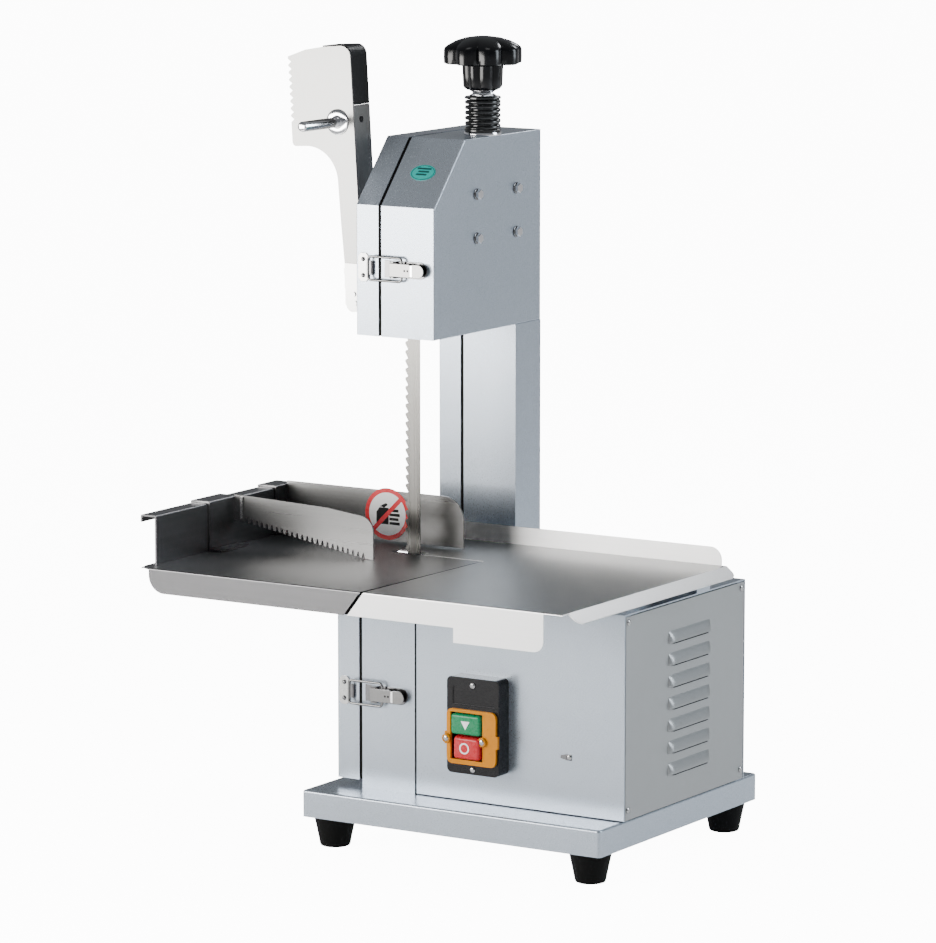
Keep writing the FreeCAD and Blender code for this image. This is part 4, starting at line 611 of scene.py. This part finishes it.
def panel_columns(low, high):
    """Places across the panel, close together at the louvres' round ends."""
    edges = [edge * MM for edge in (0.0, 0.3, 1.0, 2.0, 3.5, 5.5, 7.5, 9.0)]
    runs = [LOUVRE_FRONT + (LOUVRE_BACK - LOUVRE_FRONT) * step / 6 for step in range(1, 6)]
    places = sorted([LOUVRE_FRONT + edge for edge in edges] + [LOUVRE_BACK - edge for edge in edges] + runs)
    places = [LOUVRE_FRONT - PANEL_GUARD] + places + [LOUVRE_BACK + PANEL_GUARD]
    return [low.y] + [low.y + place for place in places] + [high.y]


def panel_rows(low, high):
    """Places up the panel, close together at each louvre's lip."""
    steps = (-0.4, 0.0, 0.15, 0.5, 1.0, 1.7, 3.0, 5.0, 7.0, 9.0, 11.0, 12.5, 14.0, 14.4)
    rows = [low.z + LOUVRE_LOW + number * LOUVRE_PITCH + step * MM
            for number in range(LOUVRE_COUNT) for step in steps]
    return [low.z] + rows + [high.z]


def panel_corner(low, face, y, z):
    """A point of the pressed sheet."""
    up = z - low.z - LOUVRE_LOW
    number = min(LOUVRE_COUNT - 1, max(0, math.floor((up + LEVEL_SLACK) / LOUVRE_PITCH)))
    return Vector((face + louvre_stand(y - low.y - LOUVRE_FRONT, up - number * LOUVRE_PITCH), y, z))


def make_side_panel(materials):
    """The right cover as one pressed sheet: a grid pushed out where the louvres are."""
    low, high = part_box("side_panel")
    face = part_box("motor_cover")[1].x
    columns, rows = panel_columns(low, high), panel_rows(low, high)
    wide, tall = len(columns), len(rows)
    vertices = [panel_corner(low, face, y, z) for z in rows for y in columns]
    faces = [(row * wide + i, row * wide + i + 1, (row + 1) * wide + i + 1, (row + 1) * wide + i)
             for row in range(tall - 1) for i in range(wide - 1)]
    rim = list(range(wide)) + [row * wide + wide - 1 for row in range(1, tall)]
    rim += [(tall - 1) * wide + i for i in range(wide - 2, -1, -1)]
    rim += [row * wide for row in range(tall - 2, 0, -1)]
    back = len(vertices)
    vertices += [Vector((face - PANEL_WALL, vertices[i].y, vertices[i].z)) for i in rim]
    for index in range(len(rim)):
        after = (index + 1) % len(rim)
        faces.append((rim[index], back + index, back + after, rim[after]))
    faces.append(tuple(back + index for index in range(len(rim))))
    mesh = mesh_from("louvred_panel", vertices, faces)
    finished("louvred_panel", mesh, materials["panel_paint"], "root", smooth=40.0,
             replaces=("side_panel",))
    make_louvre_slot_shades(materials, low, face)


def make_louvre_slot_shades(materials, low, face):
    """A black strip under each louvre's lip: painted shade for the dark opening."""
    front, back = low.y + LOUVRE_FRONT, low.y + LOUVRE_BACK
    outline = [(front + 6 * MM, 0.3 * MM), (back - 6 * MM, 0.3 * MM), (back - 8 * MM, 3.6 * MM),
               (front + 8 * MM, 3.6 * MM)]
    for number in range(LOUVRE_COUNT):
        z = low.z + LOUVRE_LOW + number * LOUVRE_PITCH - 0.1 * MM
        mesh = prism("louvre_slot_shade", outline, lambda a, b, t: Vector((face + b, a, z + t)), 0.2 * MM)
        finished("louvre_slot_%d" % number, mesh, materials["black_satin"], "root")


# ---------------------------------------- latches

BAIL_WIRE, BAIL_BEND = 1.45 * MM, 4.5 * MM
LATCH_STAND, LATCH_PIVOT = 9.5 * MM, 3 * MM


def rounded_path(corners, radius, steps=6):
    """Points along a path of straight runs with its inner corners rounded."""
    points = [Vector(corners[0])]
    for before, corner, after in zip(corners, corners[1:], corners[2:]):
        corner = Vector(corner)
        start = corner + (Vector(before) - corner).normalized() * radius
        end = corner + (Vector(after) - corner).normalized() * radius
        for step in range(steps + 1):
            share = step / steps
            points.append(start.lerp(corner, share).lerp(corner.lerp(end, share), share))
    points.append(Vector(corners[-1]))
    return points


def strip_outline(line, thickness):
    """The outline of a strip along a line of (x, y) points."""
    outer, inner = [], []
    for index, point in enumerate(line):
        before, after = Vector(line[max(0, index - 1)]), Vector(line[min(len(line) - 1, index + 1)])
        along = (after - before).normalized()
        normal = Vector((-along.y, along.x)) * thickness / 2
        outer.append(Vector(point) + normal)
        inner.append(Vector(point) - normal)
    return [(v.x, v.y) for v in outer + inner[::-1]]


class Latch:
    """A toggle latch. Outlines are in millimetres from its lever's pivot on the cabinet's face."""

    def __init__(self, name, materials):
        low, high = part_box(name + "_lever")
        self.name, self.materials = name, materials
        self.pivot, self.face, self.height = low.x + LATCH_PIVOT, low.y + LATCH_STAND, (low.z + high.z) / 2

    def front(self, label, outline, depth, thickness, finish, body, bevel=0.35, replaces=()):
        """A flat piece parallel to the face, at a depth in front of it."""
        place = upright(self.pivot, self.face - depth * MM, self.height)
        mesh = prism(label, mm(outline), place, thickness * MM)
        finished("%s_%s" % (self.name, label), mesh, self.materials[finish], body,
                 bevel=bevel * MM, replaces=replaces)

    def sides(self, label, outline, apart, thickness, body):
        """Two level pieces that stand out from the face, apart above and below the middle."""
        for side in (-1, 1):
            place = level(self.pivot, self.face, self.height + (side * apart - thickness / 2) * MM)
            mesh = prism(label, mm(outline), place, thickness * MM)
            finished("%s_%s_%d" % (self.name, label, side + 1), mesh, self.materials["latch_steel"],
                     body, bevel=0.2 * MM)

    def make_base(self):
        plate = [(-14, -9.4), (32, -9.4)] + arc((32, 0), 9.4, -90, 90, 14) + [(-14, 9.4)]
        # The base's dark finish is painted shade, standing for the dark reflection on it.
        self.front("latch_base", plate, 0.02, 1.4, "dark_zinc", "root")
        ear = [(-5, 1.4), (5, 1.4), (4, 6.5), (1.5, 7.9), (-1.5, 7.9), (-4, 6.5)]
        self.sides("latch_ear", ear, 8.7, 1.4, "root")

    def make_lever(self):
        body = self.name + "_lever"
        plate = [(-3, -7.4), (22, -7.4), (25, -6.4), (28, -7.4), (34, -7.5)]
        plate += arc((34, 0), 7.5, -90, 90, 14) + [(28, 7.4), (25, 6.4), (22, 7.4), (-3, 7.4)]
        self.front("lever_plate", plate, 8.1, 1.3, "latch_steel", body, bevel=0.5, replaces=(body,))
        self.sides("lever_cheek", [(-3, 3.6), (17, 3.6), (20, 6.0), (22, 8.0), (-3, 8.0)], 6.8, 1.2, body)
        pin = mm([(0.05, 0.0), (1.4, 0.0), (1.45, 0.3), (1.45, 18.6), (1.4, 18.9), (0.05, 18.9)])
        foot = Vector((self.pivot, self.face - 5.5 * MM, self.height - 9.45 * MM))
        finished(body + "_pin", lathe("pin", foot, "Z", pin, steps=24), self.materials["latch_steel"],
                 body)
        # Two black discs on the lever: painted shade for its dimples.
        for number, across in enumerate((17, 21)):
            self.front("lever_dimple_shade_%d" % number, arc((across, 0), 1.3, 0, 330, 11), 9.36, 0.1,
                       "black_satin", body, bevel=0)
        # A chrome strip across the lever's waist: painted highlight on its rib.
        rib = [(24.2, -6.0), (26.8, -6.4), (26.8, 6.4), (24.2, 6.0)]
        self.front("lever_rib_highlight", rib, 9.3, 0.19, "chrome", body, bevel=0.08)

    def make_bail(self):
        """The wire loop, from one side of the lever round the keeper's hook to the other."""
        hook, far, inner, outer = self.pivot + 11 * MM, self.pivot - 33 * MM, 4.8 * MM, 13 * MM
        corners = [(hook, inner), (hook, outer), (far, outer), (far, -outer), (hook, -outer), (hook, -inner)]
        path = [(x, self.face - 5.5 * MM, self.height + up) for x, up in corners]
        mesh = tube("bail", rounded_path(path, BAIL_BEND), BAIL_WIRE)
        loop = self.name + "_loop"
        finished(self.name + "_bail", mesh, self.materials["latch_steel"], loop, smooth=60.0,
                 replaces=(loop,))

    def make_keeper(self):
        plate = [(-49, -12), (-45, -16), (-38.5, -16), (-34.2, -11), (-34.2, 11), (-38.5, 16),
                 (-45, 16), (-49, 12)]
        self.front("keeper_plate", plate, 0.02, 1.3, "pale_zinc", "door")
        # The hook is darker than its plate: painted shade in the hook's curl.
        line = mm([(-34.5, 0.8), (-32, 0.9), (-30, 1.6), (-28.9, 3.2)])
        place = level(self.pivot, self.face, self.height - 7.8 * MM)
        mesh = prism("hook", strip_outline(line, 1.2 * MM), place, 15.6 * MM)
        finished(self.name + "_keeper_hook", mesh, self.materials["dark_zinc"], "door",
                 bevel=0.2 * MM)
        rivet = mm([(0.05, 0.0), (2.5, 0.0), (2.6, 0.2), (2.0, 1.0), (1.0, 1.5), (0.05, 1.65)])
        for side in (-1, 1):
            centre = Vector((self.pivot - 42 * MM, self.face - 1.3 * MM, self.height + side * 9 * MM))
            finished("%s_keeper_rivet_%d" % (self.name, side + 1),
                     lathe("rivet", centre, "-Y", rivet, steps=28), self.materials["dark_zinc"],
                     "door")


def make_latches(materials):
    for name in ("upper", "lower"):
        latch = Latch(name, materials)
        latch.make_base()
        latch.make_lever()
        latch.make_bail()
        latch.make_keeper()
    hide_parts("latch_bases")
    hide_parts("door_keepers")


# ---------------------------------------- pusher

HOLE_FROM_PEG = Vector((18.9, 16.0, 3.2)) * MM


def make_pusher_grip(materials):
    """A chrome peg with a rounded end, on a bright washer."""
    profile = mm([
        (0.05, 0.02), (14.0, 0.02), (14.4, 0.3), (14.4, 1.0), (13.6, 1.4), (7.6, 1.5), (7.2, 3.2),
        (5.9, 3.6), (5.75, 5.0), (5.75, 70.2), (5.3, 71.2), (4.6, 71.6), (0.05, 71.7),
    ])
    mesh = lathe("pusher_peg", back_of("pusher_handle"), "-Y", profile, steps=64)
    finished("pusher_peg", mesh, materials["chrome"], "pusher",
             replaces=("pusher_handle",))


def make_pusher_hole_shade(materials):
    """A black domed plug in the hole of the arm's side flange: painted shade for the dark of the hole."""
    centre = back_of("pusher_handle") + HOLE_FROM_PEG
    profile = mm([(0.05, 0.0), (3.7, 0.0), (3.7, 2.2), (3.2, 2.6), (0.05, 2.8)])
    mesh = lathe("pusher_hole_shade", centre, "X", profile, steps=32)
    finished("pusher_hole_shade", mesh, materials["black_satin"], "pusher")


# ---------------------------------------- seams and folds

COVER_SEAM_HALF, COVER_SEAM_PROUD, COVER_SEAM_DEPTH = 0.75 * MM, 0.12 * MM, 0.6 * MM
FOLD_START, FOLD_WIDTH, FOLD_THICKNESS = 8.9 * MM, 3.2 * MM, 0.4 * MM
FOLD_RISE, FOLD_DROP = 30.2 * MM, 1.2 * MM
SEAM_FRONT, SEAM_BACK = (20.65, 25.15), (29.65, 31.25)
SEAM_START, SEAM_END, SEAM_SLANT, SEAM_SPREAD, SEAM_SLACK = -225.6, 2.5, 21.0, 7.0, 0.45
SEAM_SHADE_DEPTH, SEAM_SHADE_THICKNESS = 4.2 * MM, 4.05 * MM
SEAM_FOOT_BACK, SEAM_FOOT_THICKNESS, SEAM_FOOT_CLEAR = 1.8, 1.5 * MM, 0.5 * MM


def make_cover_joint_shade(materials):
    """A black bead in the joint between the cabinet's frame and the motor cover: painted shade, standing for
    the dark of the gap.
    """
    low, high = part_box("motor_cover")
    outline = rectangle(low.x - COVER_SEAM_HALF, low.x + COVER_SEAM_HALF, low.z, high.z)
    place = upright(0.0, low.y - COVER_SEAM_PROUD + COVER_SEAM_DEPTH, 0.0)
    mesh = prism("cover_joint_shade", outline, place, COVER_SEAM_DEPTH)
    finished("cover_joint_shade", mesh, materials["rubber"], "root")


def make_fence_fold_highlight(materials):
    """The bright folded edge that stands up on the toothed plate: the fold is modelled, and its brightness
    is a painted highlight in a paler finish than the plate's.
    """
    low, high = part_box("toothed_plate")
    left = low.x + FOLD_START
    outline = rectangle(left, left + FOLD_WIDTH, low.z + FOLD_RISE, high.z - FOLD_DROP)
    mesh = prism("fence_fold_highlight", outline, upright(0.0, low.y, 0.0), FOLD_THICKNESS)
    finished("fence_fold_highlight", mesh, materials["pale_zinc"], "fence", bevel=0.15 * MM)


def make_seam_shade(materials):
    """A black strip on the right table's edge, with a foot behind the gap between the aprons: painted shade
    in the table seam and in the apron gap.
    """
    top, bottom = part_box("toothed_plate")[0].z - 0.5 * MM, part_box("left_table")[0].z
    outline = mm([(SEAM_FRONT[0] + SEAM_SLACK, SEAM_START), (SEAM_FRONT[1] - SEAM_SLACK / 2, SEAM_START),
                  (SEAM_BACK[1] - SEAM_SLACK / 2, SEAM_END), (SEAM_BACK[0] + SEAM_SLACK, SEAM_END)])
    mesh = prism("seam_shade", outline, lambda a, b, t: Vector((a, b, top - SEAM_SHADE_DEPTH + t)), SEAM_SHADE_THICKNESS)
    finished("seam_shade", mesh, materials["rubber"], "root")
    left, right = (SEAM_FRONT[0] - SEAM_SPREAD) * MM, (SEAM_FRONT[1] + SEAM_SPREAD) * MM
    slant, low, high = SEAM_SLANT * MM, bottom + SEAM_FOOT_CLEAR, top - SEAM_SHADE_DEPTH - 0.1 * MM
    foot = [(left - slant, low), (right - slant, low), (right, high), (left, high)]
    place = upright(0.0, (SEAM_START + SEAM_FOOT_BACK) * MM, 0.0)
    mesh = prism("seam_gap_shade", foot, place, SEAM_FOOT_THICKNESS)
    finished("seam_gap_shade", mesh, materials["rubber"], "root")


# ---------------------------------------- switch

BUTTON_CORNER, BUTTON_LEAST_CORNER, CORNER_STEPS = 3.0 * MM, 0.6 * MM, 5
STOP_LEAN = 5 * MM
BEZEL_SCREWS, BEZEL_SCREW_DROP = (3.2 * MM, 49.2 * MM), 3 * MM


def button_ring(low, high, inset, reach, lean):
    """A rounded rectangle at a reach from the button's back, leaning in at its left."""
    half_x, half_z = (high.x - low.x) / 2 - inset, (high.z - low.z) / 2 - inset
    radius = max(BUTTON_LEAST_CORNER, BUTTON_CORNER - inset * 0.5)
    centre_x, centre_z = (low.x + high.x) / 2, (low.z + high.z) / 2
    ring = []
    for quarter, (sx, sz) in enumerate(((1, 1), (-1, 1), (-1, -1), (1, -1))):
        for step in range(CORNER_STEPS + 1):
            angle = math.radians(90 * quarter + 90 * step / CORNER_STEPS)
            x = sx * (half_x - radius) + radius * math.cos(angle)
            x += lean * reach / (high.y - low.y) if sx < 0 else 0.0
            z = sz * (half_z - radius) + radius * math.sin(angle)
            ring.append(Vector((centre_x + x, high.y - reach, centre_z + z)))
    return ring


def make_button(label, node, finish, body, materials, lean):
    low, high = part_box(node)
    depth = high.y - low.y
    rows = [(0.0, 0.0), (0.0, depth - 4.5 * MM), (0.5 * MM, depth - 1.5 * MM),
            (1.6 * MM, depth - 0.3 * MM), (3.2 * MM, depth)]
    vertices = []
    for inset, reach in rows:
        vertices += button_ring(low, high, inset, reach, lean)
    count = 4 * (CORNER_STEPS + 1)
    last = (len(rows) - 1) * count
    faces = [tuple(range(count))[::-1], tuple(range(last, last + count))]
    for start in range(0, last, count):
        faces += band(start, start + count, count)
    finished(label, mesh_from(label, vertices, faces), materials[finish], body, smooth=50.0,
             replaces=(node,))


def make_switch(materials):
    """Both buttons, and the two bosses that hold the bezel with their screws."""
    make_button("start_cap", "start_button", "green", "start", materials, 0.0)
    make_button("stop_cap", "stop_button", "red", "stop", materials, STOP_LEAN)
    low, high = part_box("switch_bezel")
    boss = mm([(0.05, 0.0), (5.2, 0.0), (5.4, 0.6), (5.0, 2.6), (3.6, 3.3), (3.4, 2.7), (0.05, 2.7)])
    screw = mm([(0.05, 2.7), (3.0, 2.7), (3.0, 3.1), (2.2, 3.6), (0.05, 3.8)])
    for number, across in enumerate(BEZEL_SCREWS):
        centre = Vector((low.x + across, low.y, (low.z + high.z) / 2 - BEZEL_SCREW_DROP))
        finished("bezel_boss_%d" % number, lathe("boss", centre, "-Y", boss, steps=40),
                 materials["amber_clear"], "root")
        finished("bezel_screw_%d" % number, lathe("boss_screw", centre, "-Y", screw, steps=32),
                 materials["zinc"], "root")


def make_switch_marks(materials):
    """A triangle on the start button and a ring on the stop button."""
    triangle = mm([(-5.5, 4), (0.0, -5.5), (5.5, 4)])
    mesh = prism("start_mark", triangle, upright(*front_of("start_button")), 0.1 * MM)
    finished("start_mark", mesh, materials["white_mark"], "start")
    mesh = ring_lathe("stop_mark", front_of("stop_button"), "-Y", mm(rectangle(4.6, 6.2, 0.0, 0.1)))
    finished("stop_mark", mesh, materials["white_mark"], "stop")


# ---------------------------------------- sign

SIGN_RING_INNER, SIGN_BAR_REACH, SIGN_BAR_HALF, HAND_SCALE = 0.83, 0.88, 0.085, 1.18
FINGERS, FINGER_LOW, FINGER_PITCH, FINGER_WIDTH, FINGER_LENGTHS = 4, -0.34, 0.14, 0.09, (0.48, 0.43)


def hand_outlines():
    """A flat palm, four fingers and a thumb, in units of the sign's radius."""
    palm = [(-0.42, -0.34), (0.05, -0.34), (0.05, 0.20), (-0.30, 0.20), (-0.42, 0.05)]
    thumb = [(-0.30, 0.23), (-0.05, 0.36), (0.02, 0.30), (-0.12, 0.20)]
    fingers = []
    for number in range(FINGERS):
        low = FINGER_LOW + number * FINGER_PITCH
        fingers.append(rectangle(0.08, FINGER_LENGTHS[number % 2], low, low + FINGER_WIDTH))
    return [palm] + fingers + [thumb]


def make_sign(materials):
    """A red ring and bar over a plain hand, on the round plate."""
    low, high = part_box("sign_disc")
    centre = front_of("sign_disc")
    outer, place = (high.x - low.x) / 2, upright(*centre)
    ring = rectangle(outer * SIGN_RING_INNER, outer, 0.0, 0.12 * MM)
    finished("sign_ring", ring_lathe("sign_ring", centre, "-Y", ring, steps=96),
             materials["sign_red"], "gauge")
    reach, half = outer * SIGN_BAR_REACH, outer * SIGN_BAR_HALF
    corners = rectangle(-reach, reach, -half, half)
    bar = [((s - t) * math.sqrt(0.5), (s + t) * math.sqrt(0.5)) for s, t in corners]
    finished("sign_bar", prism("sign_bar", bar, place, 0.14 * MM), materials["sign_red"], "gauge")
    for number, shape in enumerate(hand_outlines()):
        outline = [(a * outer * HAND_SCALE, b * outer * HAND_SCALE) for a, b in shape]
        finished("sign_hand_%d" % number, prism("hand", outline, place, 0.08 * MM),
                 materials["black_satin"], "gauge")


# ---------------------------------------- label

LABEL_HALF_WIDTH, LABEL_FIT = 15.8 * MM, 0.98
LABEL_BARS = ((-9, 9, 4.2), (-6.5, 7.5, 0.2), (-8, 5.5, -3.8))
LABEL_BAR_HEIGHT = 2.3


def flat_ring(name, outer, inner, place, low, high):
    """A flat ring between two outlines with as many points."""
    vertices = [place(a, b, height) for height in (high, low) for a, b in outer + inner]
    count = len(outer)
    faces = band(0, count, count) + band(2 * count, 3 * count, count)
    faces += band(0, 2 * count, count) + band(count, 3 * count, count)
    return mesh_from(name, vertices, faces)


def make_oval_label(materials):
    """A plain oval plate with a raised rim and plain bars, in the plane of the head's chamfer."""
    low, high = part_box("oval_label")
    centre = (low + high) / 2
    slope = math.atan2(high.z - low.z, high.y - low.y)
    up = Vector((0, math.cos(slope), math.sin(slope)))
    out = Vector((0, -math.sin(slope), math.cos(slope)))

    def on_chamfer(a, b, t):
        return centre + Vector((a, 0, 0)) + up * b + out * (t - 0.2 * MM)

    wide, tall = LABEL_HALF_WIDTH, (high.z - low.z) / 2 / math.sin(slope) * LABEL_FIT
    mesh = prism("label_plate", ellipse(wide, tall), on_chamfer, 0.35 * MM)
    finished("label_plate", mesh, materials["teal"], "root", replaces=("oval_label",))
    mesh = flat_ring("label_rim", ellipse(wide * 0.93, tall * 0.92), ellipse(wide * 0.88, tall * 0.86),
                     on_chamfer, 0.30 * MM, 0.38 * MM)
    finished("label_rim", mesh, materials["dark_teal"], "root")
    for number, (start, end, bottom) in enumerate(LABEL_BARS):
        outline = mm(rectangle(start, end, bottom, bottom + LABEL_BAR_HEIGHT))
        mesh = prism("label_bar", outline, lambda a, b, t: on_chamfer(a, b, 0.30 * MM + t), 0.1 * MM)
        finished("label_bar_%d" % number, mesh, materials["dark_teal"], "root")


# ---------------------------------------- stage, light and camera

FLOOR_HALF = 60.0
FLOOR_LIGHT, FLOOR_LOOK = 0.34, 12.0
WORLD_STRENGTH = 0.9
WORLD_STOPS = ((0.0, (0.60, 0.61, 0.63)), (0.18, (0.15, 0.16, 0.17)), (0.85, (0.30, 0.31, 0.32)))
LIGHT_AIM = Vector((0.0, 0.0, 0.48))
FOCAL_PIXELS, SENSOR, LONG_SIDE = 5125.7, 36.0, 943
CAMERA_AZIMUTH, CAMERA_ELEVATION, CAMERA_DISTANCE = 32.123, 8.906, 5.6765
CAMERA_AIM = Vector((0.0007, 0.0212, 0.4136))


def make_stage():
    """A pale floor. It glows a little on the object and looks white to the camera."""
    mesh = bpy.data.meshes.new("floor")
    corners = rectangle(-FLOOR_HALF, FLOOR_HALF, -FLOOR_HALF, FLOOR_HALF)
    mesh.from_pydata([(x, y, 0.0) for x, y in corners], [], [(0, 1, 2, 3)])
    floor = bpy.data.objects.new("floor", mesh)
    bpy.context.scene.collection.objects.link(floor)
    material = surface("floor_white", (0.94, 0.94, 0.94), roughness=0.75, grain_scale=4.0,
                       bump=0.0, uneven=0.005)
    mesh.materials.append(material)
    tree = material.node_tree
    shader = tree.nodes["Principled BSDF"]
    shader.inputs["Emission Color"].default_value = (1.0, 1.0, 1.0, 1.0)
    seen = tree.nodes.new("ShaderNodeLightPath").outputs["Is Camera Ray"]
    glow = map_range(tree, seen, FLOOR_LIGHT, FLOOR_LOOK)
    tree.links.new(glow, shader.inputs["Emission Strength"])


def make_world():
    """A studio that is bright at the horizon, dark above it and dim overhead."""
    world = bpy.data.worlds.new("studio")
    world.use_nodes = True
    tree = world.node_tree
    background = tree.nodes["Background"]
    place = tree.nodes.new("ShaderNodeTexCoord").outputs["Generated"]
    tree.links.new(colour_ramp(tree, height_of(tree, place), WORLD_STOPS), background.inputs["Color"])
    background.inputs["Strength"].default_value = WORLD_STRENGTH
    bpy.context.scene.world = world


def face_point(thing, aim, azimuth, elevation, distance):
    """Stand a lamp or the camera off a point, at angles in degrees, and turn it to the point."""
    a, e = math.radians(azimuth), math.radians(elevation)
    back = Vector((math.sin(a) * math.cos(e), -math.cos(a) * math.cos(e), math.sin(e)))
    thing.location = aim + back * distance
    thing.rotation_mode = "QUATERNION"
    thing.rotation_quaternion = (-back).to_track_quat("-Z", "Y")
    bpy.context.scene.collection.objects.link(thing)


def area_light(name, azimuth, elevation, distance, size, power, colour):
    data = bpy.data.lights.new(name, "AREA")
    data.shape = "RECTANGLE"
    data.size, data.size_y = size
    data.energy = power
    data.color = colour
    lamp = bpy.data.objects.new(name, data)
    lamp.visible_camera = False
    face_point(lamp, LIGHT_AIM, azimuth, elevation, distance)


def make_lights():
    area_light("key", -35, 6, 1.7, (1.3, 0.62), 44, (1.0, 0.975, 0.94))
    area_light("side", 118, 20, 2.6, (1.0, 1.6), 50, (0.85, 0.93, 1.0))
    area_light("back", 177, 36, 2.8, (0.8, 0.5), 15, (0.95, 0.97, 1.0))
    area_light("top", 10, 78, 2.6, (0.8, 0.8), 5, (1.0, 1.0, 1.0))


def make_camera():
    data = bpy.data.cameras.new("camera")
    data.sensor_width = SENSOR
    data.lens = FOCAL_PIXELS * SENSOR / LONG_SIDE
    data.clip_start, data.clip_end = 0.1, 50.0
    camera = bpy.data.objects.new("camera", data)
    face_point(camera, CAMERA_AIM, CAMERA_AZIMUTH, CAMERA_ELEVATION, CAMERA_DISTANCE)
    bpy.context.scene.camera = camera


# ---------------------------------------- build

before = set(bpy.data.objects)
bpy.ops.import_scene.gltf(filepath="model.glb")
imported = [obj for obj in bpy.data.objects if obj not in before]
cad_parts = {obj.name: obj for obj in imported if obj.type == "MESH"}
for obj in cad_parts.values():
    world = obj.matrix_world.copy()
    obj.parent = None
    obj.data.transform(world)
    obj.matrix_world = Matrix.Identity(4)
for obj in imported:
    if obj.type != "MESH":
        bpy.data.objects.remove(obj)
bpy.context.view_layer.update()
finishes = make_materials()
finish_cad_nodes(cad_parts, finishes)
make_knob(finishes)
make_spring(finishes)
make_feet(finishes)
make_head_bolts(finishes)
make_cover_screws(finishes)
make_side_panel(finishes)
make_latches(finishes)
make_pusher_grip(finishes)
make_pusher_hole_shade(finishes)
make_cover_joint_shade(finishes)
make_fence_fold_highlight(finishes)
make_seam_shade(finishes)
make_switch(finishes)
make_sign(finishes)
make_switch_marks(finishes)
make_oval_label(finishes)
make_stage()
make_world()
make_lights()
make_camera()
